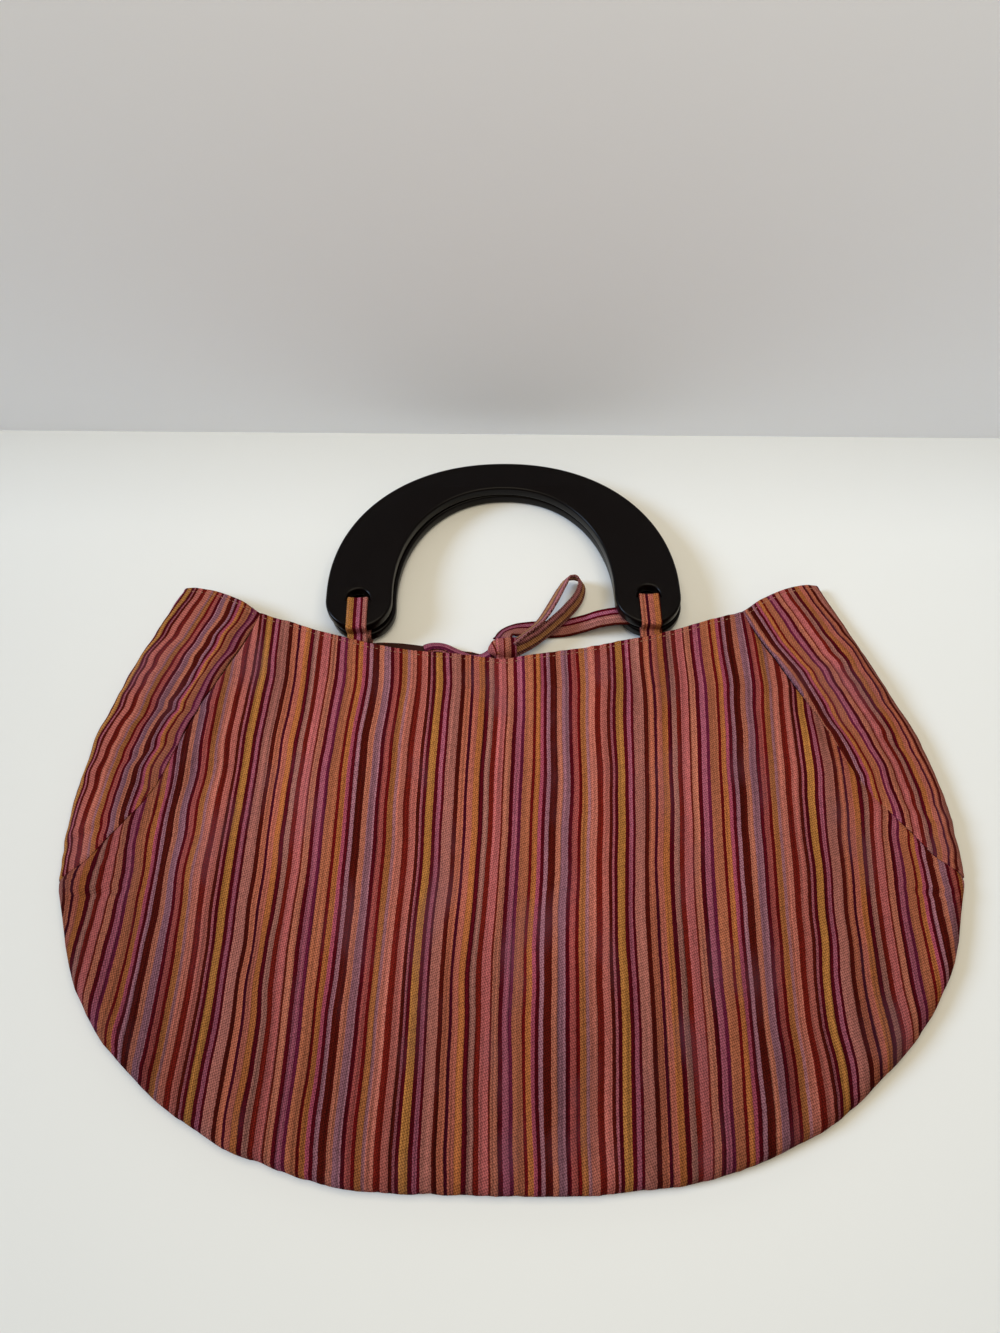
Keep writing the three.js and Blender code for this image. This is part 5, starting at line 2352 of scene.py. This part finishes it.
@dataclass
class Tie:
    """Knotted ribbon at the middle of the mouth."""

    finishes: Finishes
    # Middle of the knot: x, y beyond the lowest point of the hem, height
    knot_at: Triple = (-1.6, 6.6, 13.0)
    knot_half: Triple = (7.4, 4.4, 3.9)
    knot_turn: float = math.radians(22.0)
    knot_phase: float = 76.0
    knot_rings: int = 36
    knot_around: int = 40

    def build(self) -> list[Piece]:
        """Builds the knot and its ribbons.

        Returns:
            The pieces.
        """
        knot, front, back = ("tie_knot_cloth",), ("front_panel_cloth",), ("back_panel_cloth",)
        parts = (
            (RibbonPiece("tie_tab", 73.0, (-4.2,), front), TAB_RUN, 40),
            (RibbonPiece("tie_back_tab", 70.0, (-4.2,), back), BACK_TAB_RUN, 40),
            (RibbonPiece("tie_bow", 37.0, (-4.2, 4.2), knot, "folded", worn=True), BOW_RUN, 150),
            (RibbonPiece("tie_long_tail", 43.5, (4.2,), ("floor",)), LONG_TAIL_RUN, 110),
            (RibbonPiece("tie_short_tail", 76.4, (), back, "folded", True), SHORT_TAIL_RUN, 60),
        )
        ribbons = [
            build_ribbon(piece, tie_run(rows, samples), self.finishes) for piece, rows, samples in parts
        ]
        return [self.knot(), *ribbons]

    def knot(self) -> Piece:
        """Small tight knot with the turns of the ribbon on it.

        Returns:
            The knot.
        """
        centre = np.array(self.knot_at) + np.array([0.0, BAG.hem_dip_y, 0.0])
        turn, rings, around = self.knot_turn, self.knot_rings, self.knot_around
        corners, flats = [], []
        for ring in range(rings + 1):
            tilt = math.pi * ring / rings
            for step in range(around):
                spin = 2.0 * math.pi * step / around
                x = math.cos(tilt)
                y, z = math.sin(tilt) * math.cos(spin), math.sin(tilt) * math.sin(spin)
                # Narrow at the tab, full beside it, with a few turns of ribbon round it
                waist = 1.0 - 0.2 * math.exp(-((x / 0.3) ** 2)) + 0.22 * math.exp(-((x / 0.62) ** 4))
                crease = 0.07 * math.sin(spin * 4.0 + x * 3.0) + 0.05 * math.sin(spin * 7.0 - x * 5.0)
                swell = waist + crease * math.sin(tilt)
                place = np.array([x, y * swell, z * swell]) * np.array(self.knot_half)
                turned = np.array([
                    place[0] * math.cos(turn) - place[1] * math.sin(turn),
                    place[0] * math.sin(turn) + place[1] * math.cos(turn),
                    place[2],
                ])
                corners.append(centre + turned)
                flats.append((place[0] + self.knot_phase, spin * 3.2))
        mesh = MeshParts(np.array(corners), ring_faces(rings + 1, around), np.array(flats))
        piece = mesh.to_object("tie_knot_cloth")
        weld()
        finish_piece(piece, self.finishes.ribbon, ("tie_knot",))
        return piece


# Photograph's room


@dataclass
class Room:
    """Pale table top, wall, light and camera."""

    wall_left: Vector = Vector((-0.6, 0.2795, 0.0))
    wall_right: Vector = Vector((0.6, 0.2715, 0.0))
    wall_height: float = 0.3
    reach: float = 1.6
    key_from: Vector = Vector((-0.92, -0.04, 0.58))
    key_strength: float = 2.65
    key_spread: float = 20.0
    daylight: Triple = (0.57, 0.75, 1.03)
    ceiling_at: Vector = Vector((0.06, 0.06, 0.85))
    ceiling_size: float = 0.7
    ceiling_power: float = 5.3
    warm_white: Triple = (1.0, 0.9, 0.7)
    world_strength: float = 0.27
    camera_at: Vector = Vector((-0.38, -122.18, 486.74)) * MM
    # Pitch, yaw and roll in degrees
    camera_turn: Triple = (63.81, -0.42, -0.18)
    sensor_width: float = 36.0
    focal_length: float = 27.03

    def build(self) -> None:
        """Builds the room."""
        far_left, far_right = self.far(-self.reach), self.far(self.reach)
        near = [Vector((x, -self.reach, 0.0)) for x in (-self.reach, self.reach)]
        floor = self.plane("floor", [*near, far_right, far_left], FLOOR_FINISH)
        up = Vector((0.0, 0.0, self.wall_height))
        wall = self.plane("wall", [far_left, far_right, far_right + up, far_left + up], WALL_FINISH)
        key = self.light("key_light", "SUN", self.key_from, self.key_strength, self.daylight)
        key.data.angle = math.radians(self.key_spread)
        key.rotation_euler = (-self.key_from).to_track_quat("-Z", "Y").to_euler()
        sky = self.light("ceiling_light", "AREA", self.ceiling_at, self.ceiling_power, self.warm_white)
        sky.data.size = self.ceiling_size
        world = bpy.data.worlds.new("room")
        world.use_nodes = True
        shade = world.node_tree.nodes["Background"]
        shade.inputs[0].default_value = (*self.warm_white, 1.0)
        shade.inputs[1].default_value = self.world_strength
        scene = bpy.context.scene
        scene.world = world
        scene.view_settings.view_transform = "Standard"
        scene.camera = self.camera()

    def far(self, x: float) -> Vector:
        """Point of the line where the table meets the wall.

        Args:
            x: place across.

        Returns:
            The point.
        """
        share = (x - self.wall_left.x) / (self.wall_right.x - self.wall_left.x)
        return self.wall_left.lerp(self.wall_right, share)

    @staticmethod
    def plane(name: str, corners: list[Vector], finish: PlainFinish) -> Piece:
        """Flat surface of the room.

        Args:
            name: its name.
            corners: its four corners.
            finish: its finish.

        Returns:
            The surface.
        """
        mesh = bpy.data.meshes.new(name)
        mesh.from_pydata([tuple(corner) for corner in corners], [], [(0, 1, 2, 3)])
        surface = bpy.data.objects.new(name, mesh)
        surface.data.materials.append(plain_material(finish))
        bpy.context.scene.collection.objects.link(surface)
        return surface

    @staticmethod
    def light(
        name: str, kind: str, place: Vector, strength: float, colour: Triple
    ) -> Piece:
        """Lamp of the room.

        Args:
            name: its name.
            kind: Blender's name for its kind.
            place: where it is.
            strength: its strength, in watts unless it is a sun.
            colour: its colour.

        Returns:
            The light.
        """
        data = bpy.data.lights.new(name, kind)
        data.energy = strength
        data.color = colour
        lamp = bpy.data.objects.new(name, data)
        lamp.location = place
        bpy.context.scene.collection.objects.link(lamp)
        return lamp

    def camera(self) -> Piece:
        """Camera at the photograph's place and angle.

        Returns:
            The camera.
        """
        pitch, yaw, roll = (math.radians(angle) for angle in self.camera_turn)
        ahead = math.cos(pitch)
        forward = Vector((math.sin(yaw) * ahead, math.cos(yaw) * ahead, -math.sin(pitch)))
        level = Vector((math.cos(yaw), -math.sin(yaw), 0.0))
        upright = level.cross(forward)
        right = level * math.cos(roll) + upright * math.sin(roll)
        up = upright * math.cos(roll) - level * math.sin(roll)
        data = bpy.data.cameras.new("photo_camera")
        data.sensor_width = self.sensor_width
        data.lens = self.focal_length
        data.clip_start = 0.01
        camera = bpy.data.objects.new("photo_camera", data)
        axes = Matrix((right, up, -forward)).transposed().to_4x4()
        camera.matrix_world = Matrix.Translation(self.camera_at) @ axes
        bpy.context.scene.collection.objects.link(camera)
        return camera


def main() -> None:
    """Builds the bag and its room, piece by piece."""
    finishes = make_finishes()
    pieces = ClothBody(BAG, finishes).build()
    lays = ((Side.BACK, BACK_LAY), (Side.FRONT, FRONT_LAY))
    pieces.extend(WoodenHandle(side, HANDLE, lay, finishes).build() for side, lay in lays)
    for hand in Hand:
        pieces.extend(HandleLoop(hand, side, lay, finishes).build() for side, lay in lays)
    pieces.extend(Tie(finishes).build())
    Room().build()
    for piece in pieces:
        log.info("%s: %d faces", piece.name, len(piece.data.polygons))


if __name__ == "__main__":
    main()
